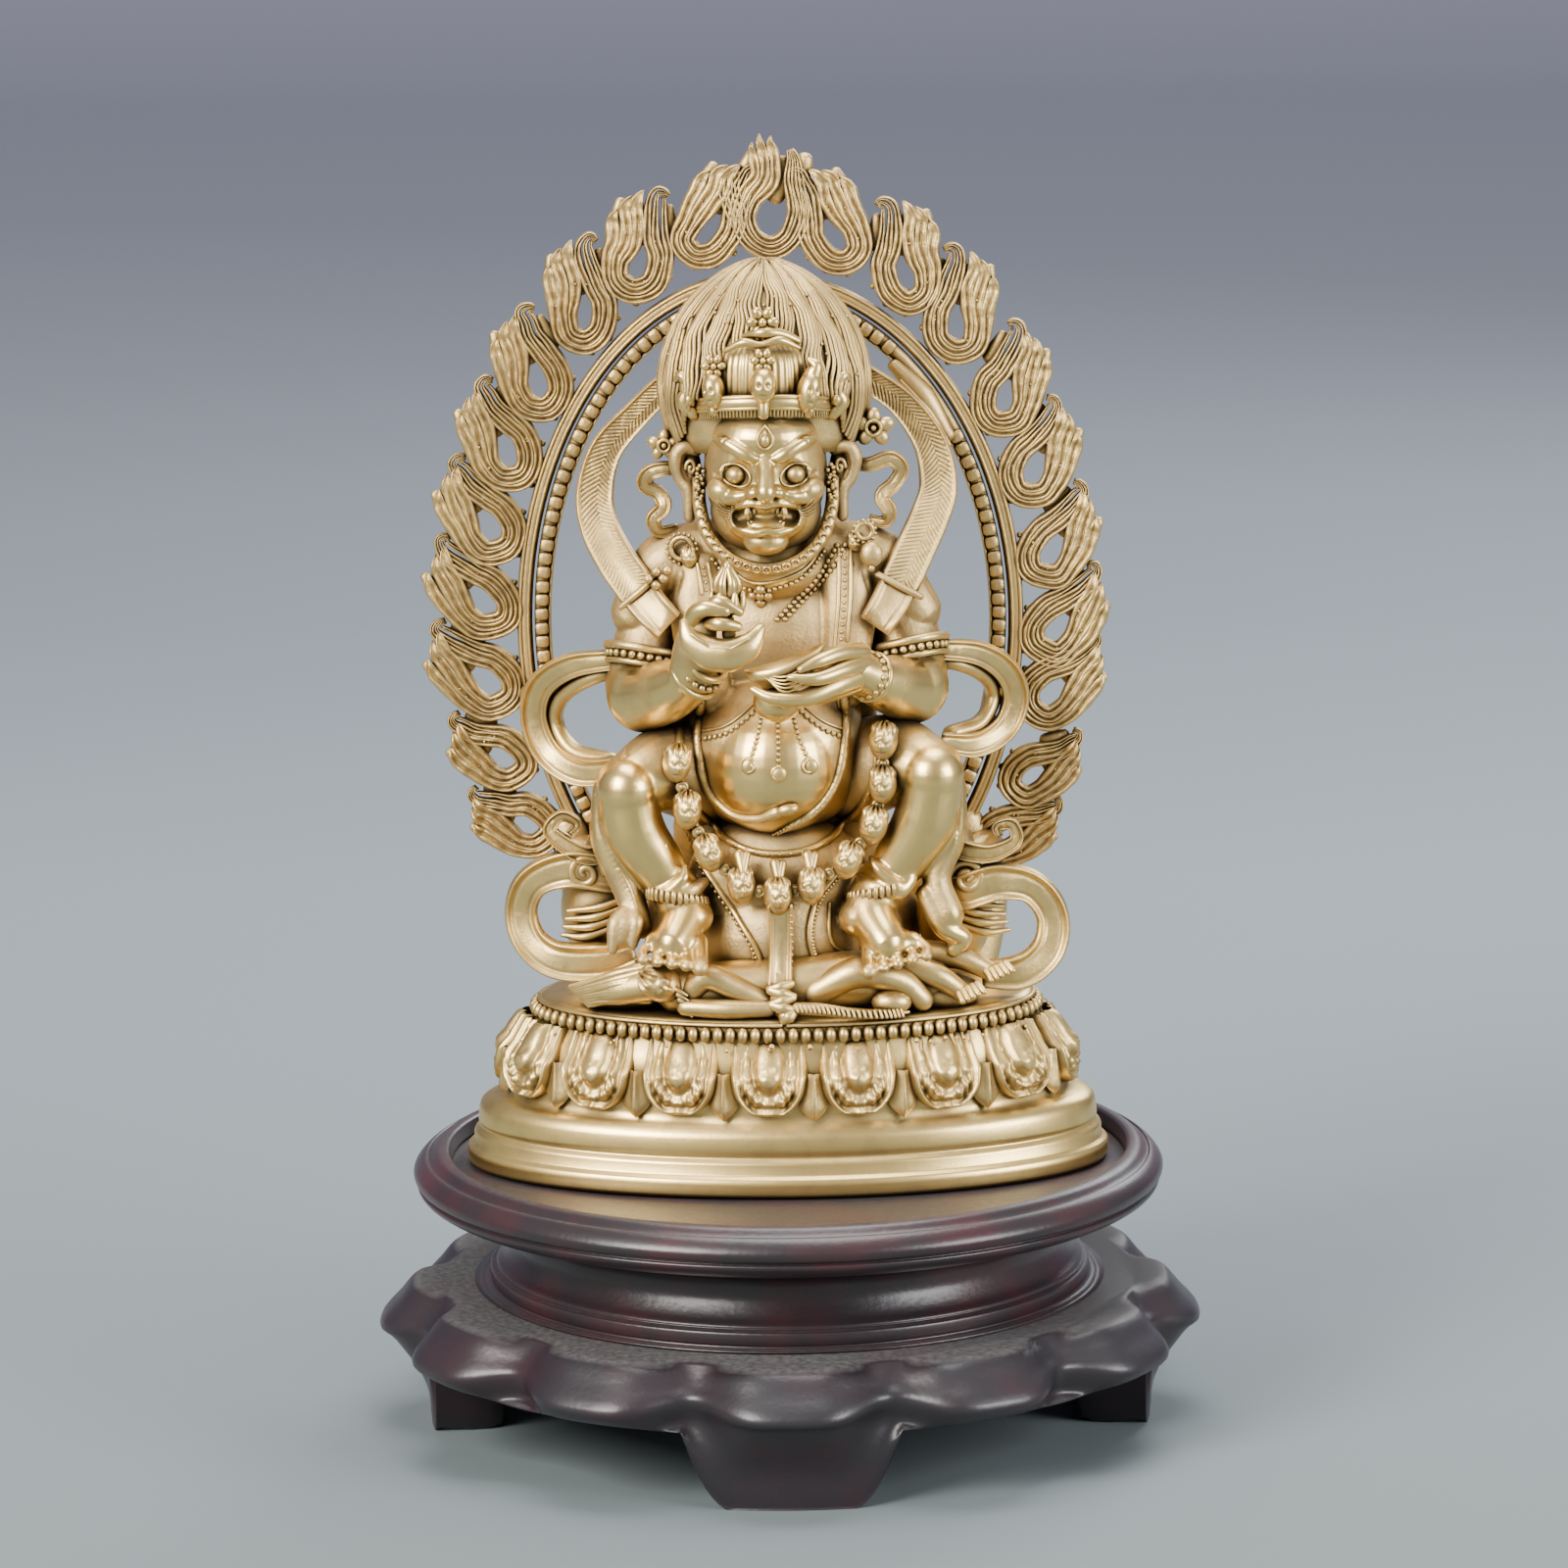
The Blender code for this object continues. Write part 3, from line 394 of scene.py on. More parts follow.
def herringbone(across: np.ndarray, along: np.ndarray) -> np.ndarray:
    """Gives slanting hatches on both sides of a middle line, inside plain edges."""
    field_ = np.clip((0.80 - np.abs(across)) * 10.0, 0.0, 1.0)
    shift = across - 0.10
    phase = np.where(shift > 0.0, along / 0.84 - shift * 3.0, along / 0.84 - 0.5 - np.abs(shift) * 3.0)
    hatch = np.abs(np.sin(math.pi * phase)) ** 0.7
    rim = np.exp(-((np.abs(across) - 0.92) / 0.07) ** 2)
    return 0.74 + 0.26 * rim - field_ * 0.40 * (1.0 - hatch)


class Relief:
    """Presses lines and pits into a melted skin."""

    def __init__(self, thing: Thing) -> None:
        """Reads the skin's points and normals."""
        self.mesh = thing.data
        self.points = (rows_of(self.mesh, "co") - ORIGIN) / SHARE
        self.normals = rows_of(self.mesh, "normal")

    def stroke(self, path: list, width: float, height: float, push: Spot | None = None, sharp: float = 2.0,
            steps: int = 8) -> None:
        """Raises or sinks the skin near a path.

        Args:
            path: knots of the line, or one point.
            width: distance at which the effect fades.
            height: how far the skin moves out, or in where negative.
            push: direction in place of the skin's own normal.
            sharp: power of the falloff.
            steps: points between knots.
        """
        line = np.array([path[0]]) if len(path) == 1 else smooth_path(path, steps)[0]
        low, high = line.min(axis=0) - width * 2.2, line.max(axis=0) + width * 2.2
        near = np.where(np.all((self.points > low) & (self.points < high), axis=1))[0]
        if not len(near):
            return
        gap = np.full(len(near), 1e9)
        for spot in line:
            gap = np.minimum(gap, np.linalg.norm(self.points[near] - spot, axis=1))
        fall = np.exp(-(gap / width) ** sharp)[:, None] * height
        way = self.normals[near] if push is None else np.array(push)[None]
        self.points[near] += way * fall

    def fold_behind(self, knots: list, width: float, height: float) -> None:
        """Presses a line into the back of the skin through x and z pairs.

        Args:
            knots: the pairs.
            width: distance at which the fold fades.
            height: how far the skin moves out, or in where negative.
        """
        line = []
        for x, _, z in smooth_path([(x, 0.0, z) for x, z in knots], 36)[0]:
            near = (np.abs(self.points[:, 0] - x) < 0.7) & (np.abs(self.points[:, 2] - z) < 0.7)
            if near.any():
                line.append((x, float(self.points[near, 1].max()), z))
        if line:
            self.stroke(line, width, height, steps=1)

    def save(self) -> None:
        """Writes the points back."""
        points = self.points * SHARE + ORIGIN
        self.mesh.vertices.foreach_set("co", points.reshape(-1))
        self.mesh.update()


class Drape:
    """Finds the front of finished pieces, so that trim lies on them."""

    def __init__(self, things: list[Thing]) -> None:
        """Gathers the skins into one search tree."""
        points: list = []
        faces: list = []
        for thing in things:
            start = len(points)
            points += ((rows_of(thing.data, "co") - ORIGIN) / SHARE).tolist()
            faces += [[start + v for v in face.vertices] for face in thing.data.polygons]
        self.tree = BVHTree.FromPolygons(points, faces)

    def at(self, x: float, z: float, lift: float = 0.0, spare: float = -12.0) -> Spot:
        """Returns the front spot at a place seen from the front, lifted towards the viewer."""
        hit = self.tree.ray_cast(Vector((x, -80.0, z)), Vector((0.0, 1.0, 0.0)))[0]
        return (x, (hit.y if hit is not None else spare) - lift, z)

    def line(self, knots: list, lift: float = 0.0, steps: int = 6, leap: float = 99.0) -> list[Spot]:
        """Returns a smooth line of front spots through x and z pairs, ended where the skin leaps."""
        path, _ = smooth_path([(x, 0.0, z) for x, z in knots], steps)
        spots = [self.at(float(p[0]), float(p[2]), lift) for p in path]
        for k in range(2, len(spots)):
            if abs(spots[k][1] - spots[k - 1][1]) > leap:
                return spots[:k]
        return spots


@dataclass
class Arch:
    """The aureole's tall oval, walked by arc length from its top; left is negative."""

    centre_x: float = -3.25
    centre_z: float = 90.0
    half_left: float = 47.5
    half_right: float = 50.0
    half_tall: float = 67.9
    sheet_y: float = 16.6

    def at(self, distance: float) -> tuple[np.ndarray, np.ndarray]:
        """Returns the spot and the outward direction at an arc length."""
        half = self.half_right if distance > 0.0 else self.half_left
        turns = np.linspace(0.0, 3.0, 1500)
        steps = np.hypot(half * np.cos(turns), self.half_tall * np.sin(turns))
        walked = np.concatenate([[0.0], np.cumsum(steps[:-1] * np.diff(turns))])
        turn = math.copysign(float(np.interp(abs(distance), walked, turns)), distance)
        spot = np.array((self.centre_x + half * math.sin(turn), self.sheet_y,
            self.centre_z + self.half_tall * math.cos(turn)))
        out = np.array((math.sin(turn) / half, 0.0, math.cos(turn) / self.half_tall))
        return spot, out / np.linalg.norm(out)

    def oval(self, inset: float, drop: float = 0.0, reach: float = 146.0, count: int = 160) -> list[Spot]:
        """Returns points of a parallel oval from the lower left round to the lower right."""
        spots = []
        for k in range(count + 1):
            turn = math.radians(-reach + 2 * reach * k / count)
            half = self.half_right if turn > 0.0 else self.half_left
            spots.append((self.centre_x + (half - inset) * math.sin(turn), self.sheet_y,
                self.centre_z + (self.half_tall - inset - drop) * math.cos(turn)))
        return spots


@dataclass
class Aureole:
    """Ribbed flames round a ring of rails and square blocks."""

    arch: Arch = field(default_factory=Arch)
    left: tuple[float, ...] = (8.8, 22.1, 34.7, 48.7, 61.8, 74.8, 87.7, 101.5, 115.2, 127.5)
    right: tuple[float, ...] = (13.5, 27.1, 39.2, 54.3, 67.5, 81.8, 95.2, 106.4, 121.2, 132.5)
    low_from: float = 110.0
    low_size: float = 0.86
    ring_drop: float = 2.4
    thick: float = 1.5

    def strand(self, clay: Clay, course: list, half: list[float], tips: tuple, place: Callable,
            seed: int) -> None:
        """Adds a ribbed strip of three bundles that part into curled tips.

        Args:
            clay: receives the forms.
            course: offsets along and away of the middle line.
            half: half widths along it.
            tips: rows cut, length and curl of each bundle's tip.
            place: turns offsets along, away and forward into a spot.
            seed: varies the ribs.
        """
        rng = np.random.default_rng(seed)
        line = smooth_path([(a, 0.0, b) for a, b in course], 5)[0][:, (0, 2)]
        wide = np.interp(np.linspace(0, 1, len(line)), np.linspace(0, 1, len(half)), half)
        ahead = np.gradient(line, axis=0)
        ahead /= np.linalg.norm(ahead, axis=1, keepdims=True)
        outer = np.stack([-ahead[:, 1], ahead[:, 0]], axis=1)
        for k, (cut, length, curl) in enumerate(tips):
            share = (k - 1) * 0.64 + rng.uniform(-0.04, 0.04)
            keep = len(line) - cut
            path = (line + outer * (wide * share)[:, None])[:keep]
            step = np.linspace(0.14, 1.0, 8)[:, None]
            tip = path[-1] + ahead[keep - 1] * length * step + np.array((1.0, -0.25)) * curl * step ** 2.6
            lift = np.concatenate([np.zeros(keep), 0.55 * np.sin(step[:, 0] * 2.4)])
            sizes = np.concatenate([wide[:keep] * 0.40,
                wide[keep - 1] * 0.40 * np.interp(step[:, 0], [0.0, 0.35, 0.7, 1.0],
                [1.0, 1.05, 0.72, 0.12])])
            deep = np.concatenate([np.interp(np.linspace(0, 1, keep), [0.0, 0.12, 0.3, 1.0],
                [0.5, 0.85, 1.0, 1.0]), np.interp(step[:, 0], [0.0, 0.6, 1.0],
                [1.0, 0.8, 0.35])]) * self.thick
            whole = np.concatenate([path, tip])
            whole_length = float(np.sum(np.linalg.norm(np.diff(whole, axis=0), axis=1)))
            phase = rng.uniform(0.0, 6.0)

            def carve(across: np.ndarray, along: np.ndarray) -> np.ndarray:
                """Gives two wavy ridges that turn into a rimmed hollow at the tip."""
                end = np.clip((along - whole_length + length + 1.6) / 2.0, 0.0, 1.0)
                wavy = across + 0.13 * np.sin(along * 0.8 + phase) * (1.0 - across ** 2)
                ridge = 0.50 + 0.50 * np.abs(np.sin(math.pi * (wavy + 1.0))) ** 0.75
                hollow = 0.62 + 0.38 * np.exp(-((np.abs(across) - 0.78) / 0.22) ** 2)
                return (ridge * (1.0 - end) + hollow * end) * (1.0 + 0.05 * np.sin(along * 2.3 + phase))
            clay.band([place(a, b, c) for (a, b), c in zip(whole, lift)], list(sizes), list(deep), carve,
                columns=15)

    def flame(self, clay: Clay, distance: float, handed: float, seed: int) -> None:
        """Adds one flame: a strand from a hook, round its hole, into a tongue.

        Args:
            clay: receives the forms.
            distance: arc length of the hole from the arch's top.
            handed: 1 on the viewer's right, -1 on the left.
            seed: varies the flame.
        """
        spot, out = self.arch.at(distance)
        rise = np.array((-out[2] * handed, 0.0, out[0] * handed))
        lean = math.degrees(math.atan2(abs(out[0]), out[2]))
        low = min(max((lean - 50.0) / 35.0, 0.0), 1.0)
        size = self.low_size if abs(distance) >= self.low_from else 1.0
        press = 1.0 - (0.17 if handed > 0 else 0.0) * low
        rng = np.random.default_rng(seed)

        def place(along: float, away: float, forward: float = 0.0) -> np.ndarray:
            """Turns offsets into a spot of the sheet."""
            away = away * press if away > 0.0 else away
            return spot + rise * along * size + out * away * size - np.array((0.0, forward, 0.0))
        high = [(-4.3, -0.3), (-2.2, 2.5), (0.2, 4.3), (2.2, 6.5), (3.8, 8.6)]
        side = [(-4.5, 0.2), (-2.7, 3.2), (0.0, 5.2), (2.9, 6.9), (5.0, 8.1)]
        course = [(11.2, 6.2), (10.9, 7.3), (9.8, 7.6), (8.6, 6.4), (6.9, 4.3), (5.3, 1.4), (3.8, -1.6),
            (0.4, -4.0), (-3.0, -3.5)]
        course += [(a + (c - a) * low, b + (d - b) * low) for (a, b), (c, d) in zip(high, side)]
        course = [(a + rng.uniform(-0.2, 0.2), b + rng.uniform(-0.2, 0.2)) for a, b in course]
        half = [0.5, 1.0, 1.5, 2.0, 2.25, 2.25, 2.2, 2.2, 2.2, 2.2, 2.3, 2.9, 3.4, 3.0]
        self.strand(clay, course, half, ((0, 2.7, 1.5), (0, 1.9, 1.4), (3, 1.5, 1.0)), place, seed)
        for line, radius in ((((3.2, 3.0), (4.6, 5.6), (5.9, 7.9)), 1.5),
                (((7.4, 0.6), (8.7, 2.8), (9.9, 4.6)), 1.3), (((1.4, 7.2), (2.8, 9.0), (3.9, 10.2)), 1.3)):
            clay.limb([place(a, b, -0.8) for a, b in line], [radius, radius, radius * 0.7], flat=0.8,
                sides=12)
        for along, away, radius in ((-0.2, -5.9, 0.8), (-3.9, -5.3, 0.7), (3.4, -5.0, 0.6)):
            clay.ball(tuple(place(along, away, -0.6)), (radius, 1.1, radius), fine=10)
        for _ in range(9):
            bead = rng.uniform(0.18, 0.34)
            turn = rng.uniform(0.0, 2 * math.pi)
            clay.ball(tuple(place(4.2 * math.cos(turn) + 0.8, 4.2 * math.sin(turn) + 1.0, self.thick * 0.72)),
                bead, fine=6)

    def crest(self, clay: Clay) -> None:
        """Adds the middle flame: a strand from the right tip, round the top hole, into the highest tongue."""
        top = self.arch.centre_z + self.arch.half_tall

        def place(along: float, away: float, forward: float = 0.0) -> np.ndarray:
            """Turns offsets from the top hole into a spot."""
            return np.array((-1.2 + along, self.arch.sheet_y - forward, top + away))
        course = [(3.4, 12.4), (4.0, 10.6), (4.0, 7.6), (4.5, 4.2), (4.7, 1.2), (3.2, -2.6), (0.0, -4.2),
            (-3.2, -2.7), (-4.5, 0.8), (-3.4, 4.4), (-1.0, 7.4), (-0.9, 10.4), (-1.4, 12.6)]
        half = [0.6, 1.3, 1.8, 1.9, 2.0, 2.0, 2.0, 2.0, 2.0, 2.2, 2.6, 2.7, 2.5]
        self.strand(clay, course, half, ((0, 1.9, 0.5), (0, 2.7, 0.3), (0, 1.7, 0.5)), place, 90)
        course = [(-4.8, -1.4), (-5.9, 2.0), (-6.8, 5.4), (-6.6, 8.0)]
        self.strand(clay, course, [1.2, 1.8, 2.0, 1.6], ((0, 1.2, 0.9), (0, 1.4, 1.6), (2, 0.9, 0.9)), place,
            91)
        for line in (((0.8, 4.4), (2.2, 6.8), (2.0, 10.4)), ((-5.2, 6.0), (-4.2, 9.0), (-3.0, 11.4)),
                ((5.6, 8.6), (5.8, 10.6))):
            clay.limb([place(a, b, -0.8) for a, b in line], [1.6, 1.5, 1.2][:len(line)], flat=0.8, sides=12)

    def block(self, clay: Clay, spot: np.ndarray, angle: float) -> None:
        """Adds one cushion-shaped square block of the ring."""
        rows = []
        for size, height in ((1.0, -1.0), (1.0, 1.2), (0.94, 1.62), (0.74, 1.8), (0.3, 1.86)):
            row = []
            for k in range(16):
                turn = 2 * math.pi * (k + 0.5) / 16
                c, s = math.cos(turn), math.sin(turn)
                reach = size / (abs(c) ** 7 + abs(s) ** 7) ** (1 / 7)
                x, z = c * reach * 1.03, s * reach * 1.12
                row.append((spot[0] + x * math.cos(angle) - z * math.sin(angle), spot[1] - height,
                    spot[2] + x * math.sin(angle) + z * math.cos(angle)))
            rows.append(row)
        clay.skin(np.array(rows))

    def ring(self) -> Thing:
        """Builds the ring of two rails, a groove, square blocks and a thin inner edge.

        Returns:
            The ring with its smooth patch and two feet.
        """
        ring = Clay()
        for inset, radius, flat in ((6.9, 1.3, 0.9), (6.1, 0.52, 2.7), (7.5, 0.50, 2.6), (9.8, 1.25, 0.85),
                (11.15, 0.30, 4.2)):
            ring.limb(self.arch.oval(inset, self.ring_drop), radius, flat=flat, steps=1, sides=12)
        line = np.array(self.arch.oval(9.8, self.ring_drop, count=1500))
        walked = walk(line)
        blocks = int(walked[-1] / 2.4)
        rng = np.random.default_rng(7)
        for k in range(blocks):
            target = (k + 0.5 + rng.uniform(-0.06, 0.06)) * walked[-1] / blocks
            spot = np.array([np.interp(target, walked, line[:, axis]) for axis in range(3)])
            ahead = np.array([np.interp(target + 0.5, walked, line[:, axis]) for axis in range(3)])
            if not (20.0 < spot[0] < 29.5 and spot[2] > 118.0):
                self.block(ring, spot, math.atan2(ahead[2] - spot[2], ahead[0] - spot[0]) + rng.uniform(-0.05,
                    0.05))
        ring.limb([(19.4, 15.4, 133.6), (24.2, 15.0, 128.4), (28.4, 14.8, 121.6)], [1.2, 2.1, 1.3], flat=0.8,
            sides=14)
        ring.limb([(20.6, 14.2, 131.0), (25.2, 13.6, 126.0), (28.6, 13.4, 120.2)], [0.4, 0.5, 0.4], sides=10)
        for side in (-1.0, 1.0):
            foot = [(self.arch.centre_x + side * 34.0, self.arch.sheet_y, 55.0), (side * 33.5, 15.6, 42.0),
                (side * 30.0, 13.6, 27.0)]
            ring.limb(foot, [3.2, 4.6, 5.5], flat=0.6)
        return ring.build("aureole_ring")

    def build(self) -> list[Thing]:
        """Builds the flames and the ring.

        Returns:
            The three pieces.
        """
        pieces = []
        for name, handed, holes in (("flames_left", -1.0, self.left), ("flames_right", 1.0, self.right)):
            clay = Clay()
            for k, hole in enumerate(holes):
                self.flame(clay, handed * hole, handed, 17 * k + (40 if handed > 0 else 1))
            if handed > 0:
                self.crest(clay)
            pieces.append(clay.build(name))
        return pieces + [self.ring()]


@dataclass
class LotusBase:
    """Stepped oval plinth with a ring of petals, a bead row and a flat platform."""

    half_wide: float = 54.6
    half_deep: float = 30.6
    petals: int = 16
    beads: int = 104
    phase: float = -3.3
    around: float = 255.0
    petal_tall: float = 13.4
    boss_at: float = 0.74
    boss_wide: float = 2.55
    boss_tall: float = 0.36

    def oval_at(self, wide: float, deep: float, share: np.ndarray) -> tuple[np.ndarray, np.ndarray]:
        """Returns spots and outward directions at equal-length shares of an oval from its front."""
        turns = np.linspace(-math.pi / 2, 1.5 * math.pi, 2881)
        line = np.stack([wide * np.cos(turns), deep * np.sin(turns)], axis=1)
        walked = walk(line)
        angle = np.interp((share % 1.0) * walked[-1], walked, turns)
        spots = np.stack([wide * np.cos(angle), deep * np.sin(angle)], axis=-1)
        outs = np.stack([np.cos(angle) / wide, np.sin(angle) / deep], axis=-1)
        return spots, outs / np.linalg.norm(outs, axis=-1, keepdims=True)

    def plinth(self) -> Thing:
        """Builds the stepped plinth and the platform."""
        profile = [(1.2, 0.0), (0.35, 0.15), (0.1, 0.8), (0.0, 2.0), (0.05, 2.9), (0.35, 3.3), (0.95, 3.6),
            (1.15, 3.9), (1.2, 5.4), (1.4, 5.9), (2.05, 6.3), (2.2, 6.6), (2.0, 7.0), (1.95, 7.6), (2.1, 9.6),
            (2.45, 10.6), (3.2, 11.3), (4.6, 11.9), (6.6, 12.3), (7.0, 13.6), (7.0, 17.0), (7.8, 20.0),
            (9.6, 23.0), (12.2, 25.4), (12.4, 27.9), (12.9, 28.7), (13.6, 29.15), (14.6, 29.3), (18.0, 29.3),
            (24.0, 29.3)]
        clay = Clay()
        share = np.arange(288) / 288
        rows = []
        for inset, height in profile:
            deep = float(np.interp(inset, [0.0, 3.4, 5.5, 12.0, 13.8, 15.2, 24.0],
                [0.0, 3.4, 3.6, 5.2, 6.0, 7.0, 14.0]))
            spots, _ = self.oval_at(self.half_wide - inset, self.half_deep - deep, share)
            dent = 0.12 * np.sin(share * 31.0 + height) * (1.0 if height < 7.0 else 0.3)
            rows.append(np.concatenate([spots * (1.0 + dent[:, None] / 400.0),
                np.full((len(share), 1), height)], axis=1))
        clay.skin(np.array(rows))
        return clay.build("base_plinth")

    def bead_row(self) -> Thing:
        """Builds the bead row under the platform and the odd casting blobs."""
        clay = Clay()
        spots, outs = self.oval_at(42.6, 26.0, (np.arange(self.beads) + 0.5) / self.beads)
        for spot, out in zip(spots, outs):
            turn = math.degrees(math.atan2(out[1], out[0]))
            clay.ball((spot[0], spot[1], 26.9), (1.1, 0.93, 1.32), (0.0, 0.0, turn), fine=14)
        rng = np.random.default_rng(8)
        spots, outs = self.oval_at(44.6, 27.4, rng.uniform(0, 1, 46))
        for spot, out in zip(spots, outs):
            size = rng.uniform(0.25, 0.62)
            clay.ball((spot[0], spot[1], rng.uniform(24.6, 25.6)), size, fine=8)
        share = np.arange(288) / 288
        rows = []
        for turn in turns_round(10):
            spots, _ = self.oval_at(41.9 + 0.45 * math.cos(turn), 25.3 + 0.45 * math.cos(turn), share)
            rows.append(np.concatenate([spots, np.full((288, 1), 28.45 + 0.4 * math.sin(turn))], axis=1))
        clay.skin(np.array(rows).transpose(1, 0, 2)[:, ::-1], caps=False)
        return clay.build("base_beads")

    def petal(self, clay: Clay, share: float, broad: float = 7.0, plain: bool = False) -> None:
        """Adds one hanging petal: a bowed shield with a raised rim, a boss and side curls."""
        rows = []
        across = np.linspace(-1.0, 1.0, 41)
        for v in np.linspace(0.0, 1.0, 33):
            width = broad * min(1.0, 0.80 + 0.35 * v) * math.sqrt(max(1.0 - max(0.0,
                (0.42 - v) / 0.42) ** 2.3, 0.0))
            width = max(width, 0.05)
            step = across * width
            spots, outs = self.oval_at(47.6, 27.4, share + (self.phase + step) / self.around)
            edge = (1.0 - np.abs(across)) * width
            down = v * self.petal_tall
            border = np.minimum(edge, down)
            lift = 2.7 * np.clip(border / 0.9, 0, 1) ** 0.5
            groove = np.exp(-((border - 1.9) / 0.45) ** 2)
            rim = np.exp(-((border - 0.95) / 0.5) ** 2)
            aside, below = step / self.boss_wide, (v - self.boss_at) / self.boss_tall
            boss = np.clip(1.0 - (aside ** 2 + below ** 2), 0, 1) ** 0.5
            boss *= 1.0 if v < 0.98 else 0.4
            moat = np.exp(-((np.hypot(aside, below) - 1.22) / 0.16) ** 2)
            ridge = np.exp(-(step / 0.5) ** 2) * np.clip((0.46 - v) / 0.3, 0, 1) * np.clip(v / 0.1, 0, 1)
            curls = 0.0 if plain else 0.55 * np.sin(step * 3.0 + 1.2) * np.sin(v * 24.0
                + np.abs(step)) * np.exp(-((v - 0.30) / 0.20) ** 2) * np.clip((np.abs(step) - 1.2) / 1.2, 0,
                1) * (edge > 1.6)
            studs = 0.42 * np.clip(np.cos(np.arctan2(v - self.boss_at, step / 7.0) * 18.0), 0,
                1) * np.exp(-((np.hypot(aside, below) - 1.55) / 0.14) ** 2)
            mark = 0.0 if plain else 0.22 * np.cos(3.0 * np.arctan2(down - 8.4,
                step + 1e-9)) * np.exp(-(np.hypot(step, down - 8.4) / 1.3) ** 2)
            bow = 1.5 * math.sin(min(v * 1.25 + 0.12, 1.0) * math.pi) ** 0.8
            height = (lift * 0.66 + (rim - groove - moat) * 0.62 + boss * 1.45 + ridge * 0.5
                + curls + mark + studs)
            reach = (height + bow * 0.9 - 1.4)[:, None]
            tall = 13.2 + 12.6 * v
            lean = -4.2 * max(v - 0.55, 0.0) ** 1.2 * 2.0
            place = spots + outs * (reach + lean)
            rows.append(np.concatenate([place, np.full((len(across), 1), tall)], axis=1))
        clay.skin(np.array(rows), caps=False, round_way=False)

    def leaf(self, clay: Clay, share: float) -> None:
        """Adds one small pointed leaf between two petals."""
        rows = []
        across = np.linspace(-1.0, 1.0, 17)
        for k in range(15):
            v = k / 14
            width = 3.6 * math.sin(min(v * 2.2, 1.0) * math.pi / 2) * (1.0 - 0.55 * v)
            step = across * max(width, 0.04)
            spots, outs = self.oval_at(47.8, 27.2, share + (self.phase + step) / self.around)
            height = 0.9 * (1.0 - np.abs(across) ** 2) + 0.45 * np.exp(-(across / 0.18) ** 2) - 0.2
            height = height * min(v * 6.0, 1.0)
            place = spots + outs * (height[:, None] + 0.9 * (1.0 - v))
            rows.append(np.concatenate([place, np.full((17, 1), 12.7 + 8.0 * v)], axis=1))
        clay.skin(np.array(rows), caps=False, round_way=False)

    def build(self) -> list[Thing]:
        """Builds plinth, petals and beads.

        Returns:
            The three pieces.
        """
        clay = Clay()
        for k in range(self.petals):
            self.petal(clay, k / self.petals, plain=4 < k < 12)
            self.leaf(clay, (k + 0.5) / self.petals)
        return [self.plinth(), clay.build("base_petals"), self.bead_row()]


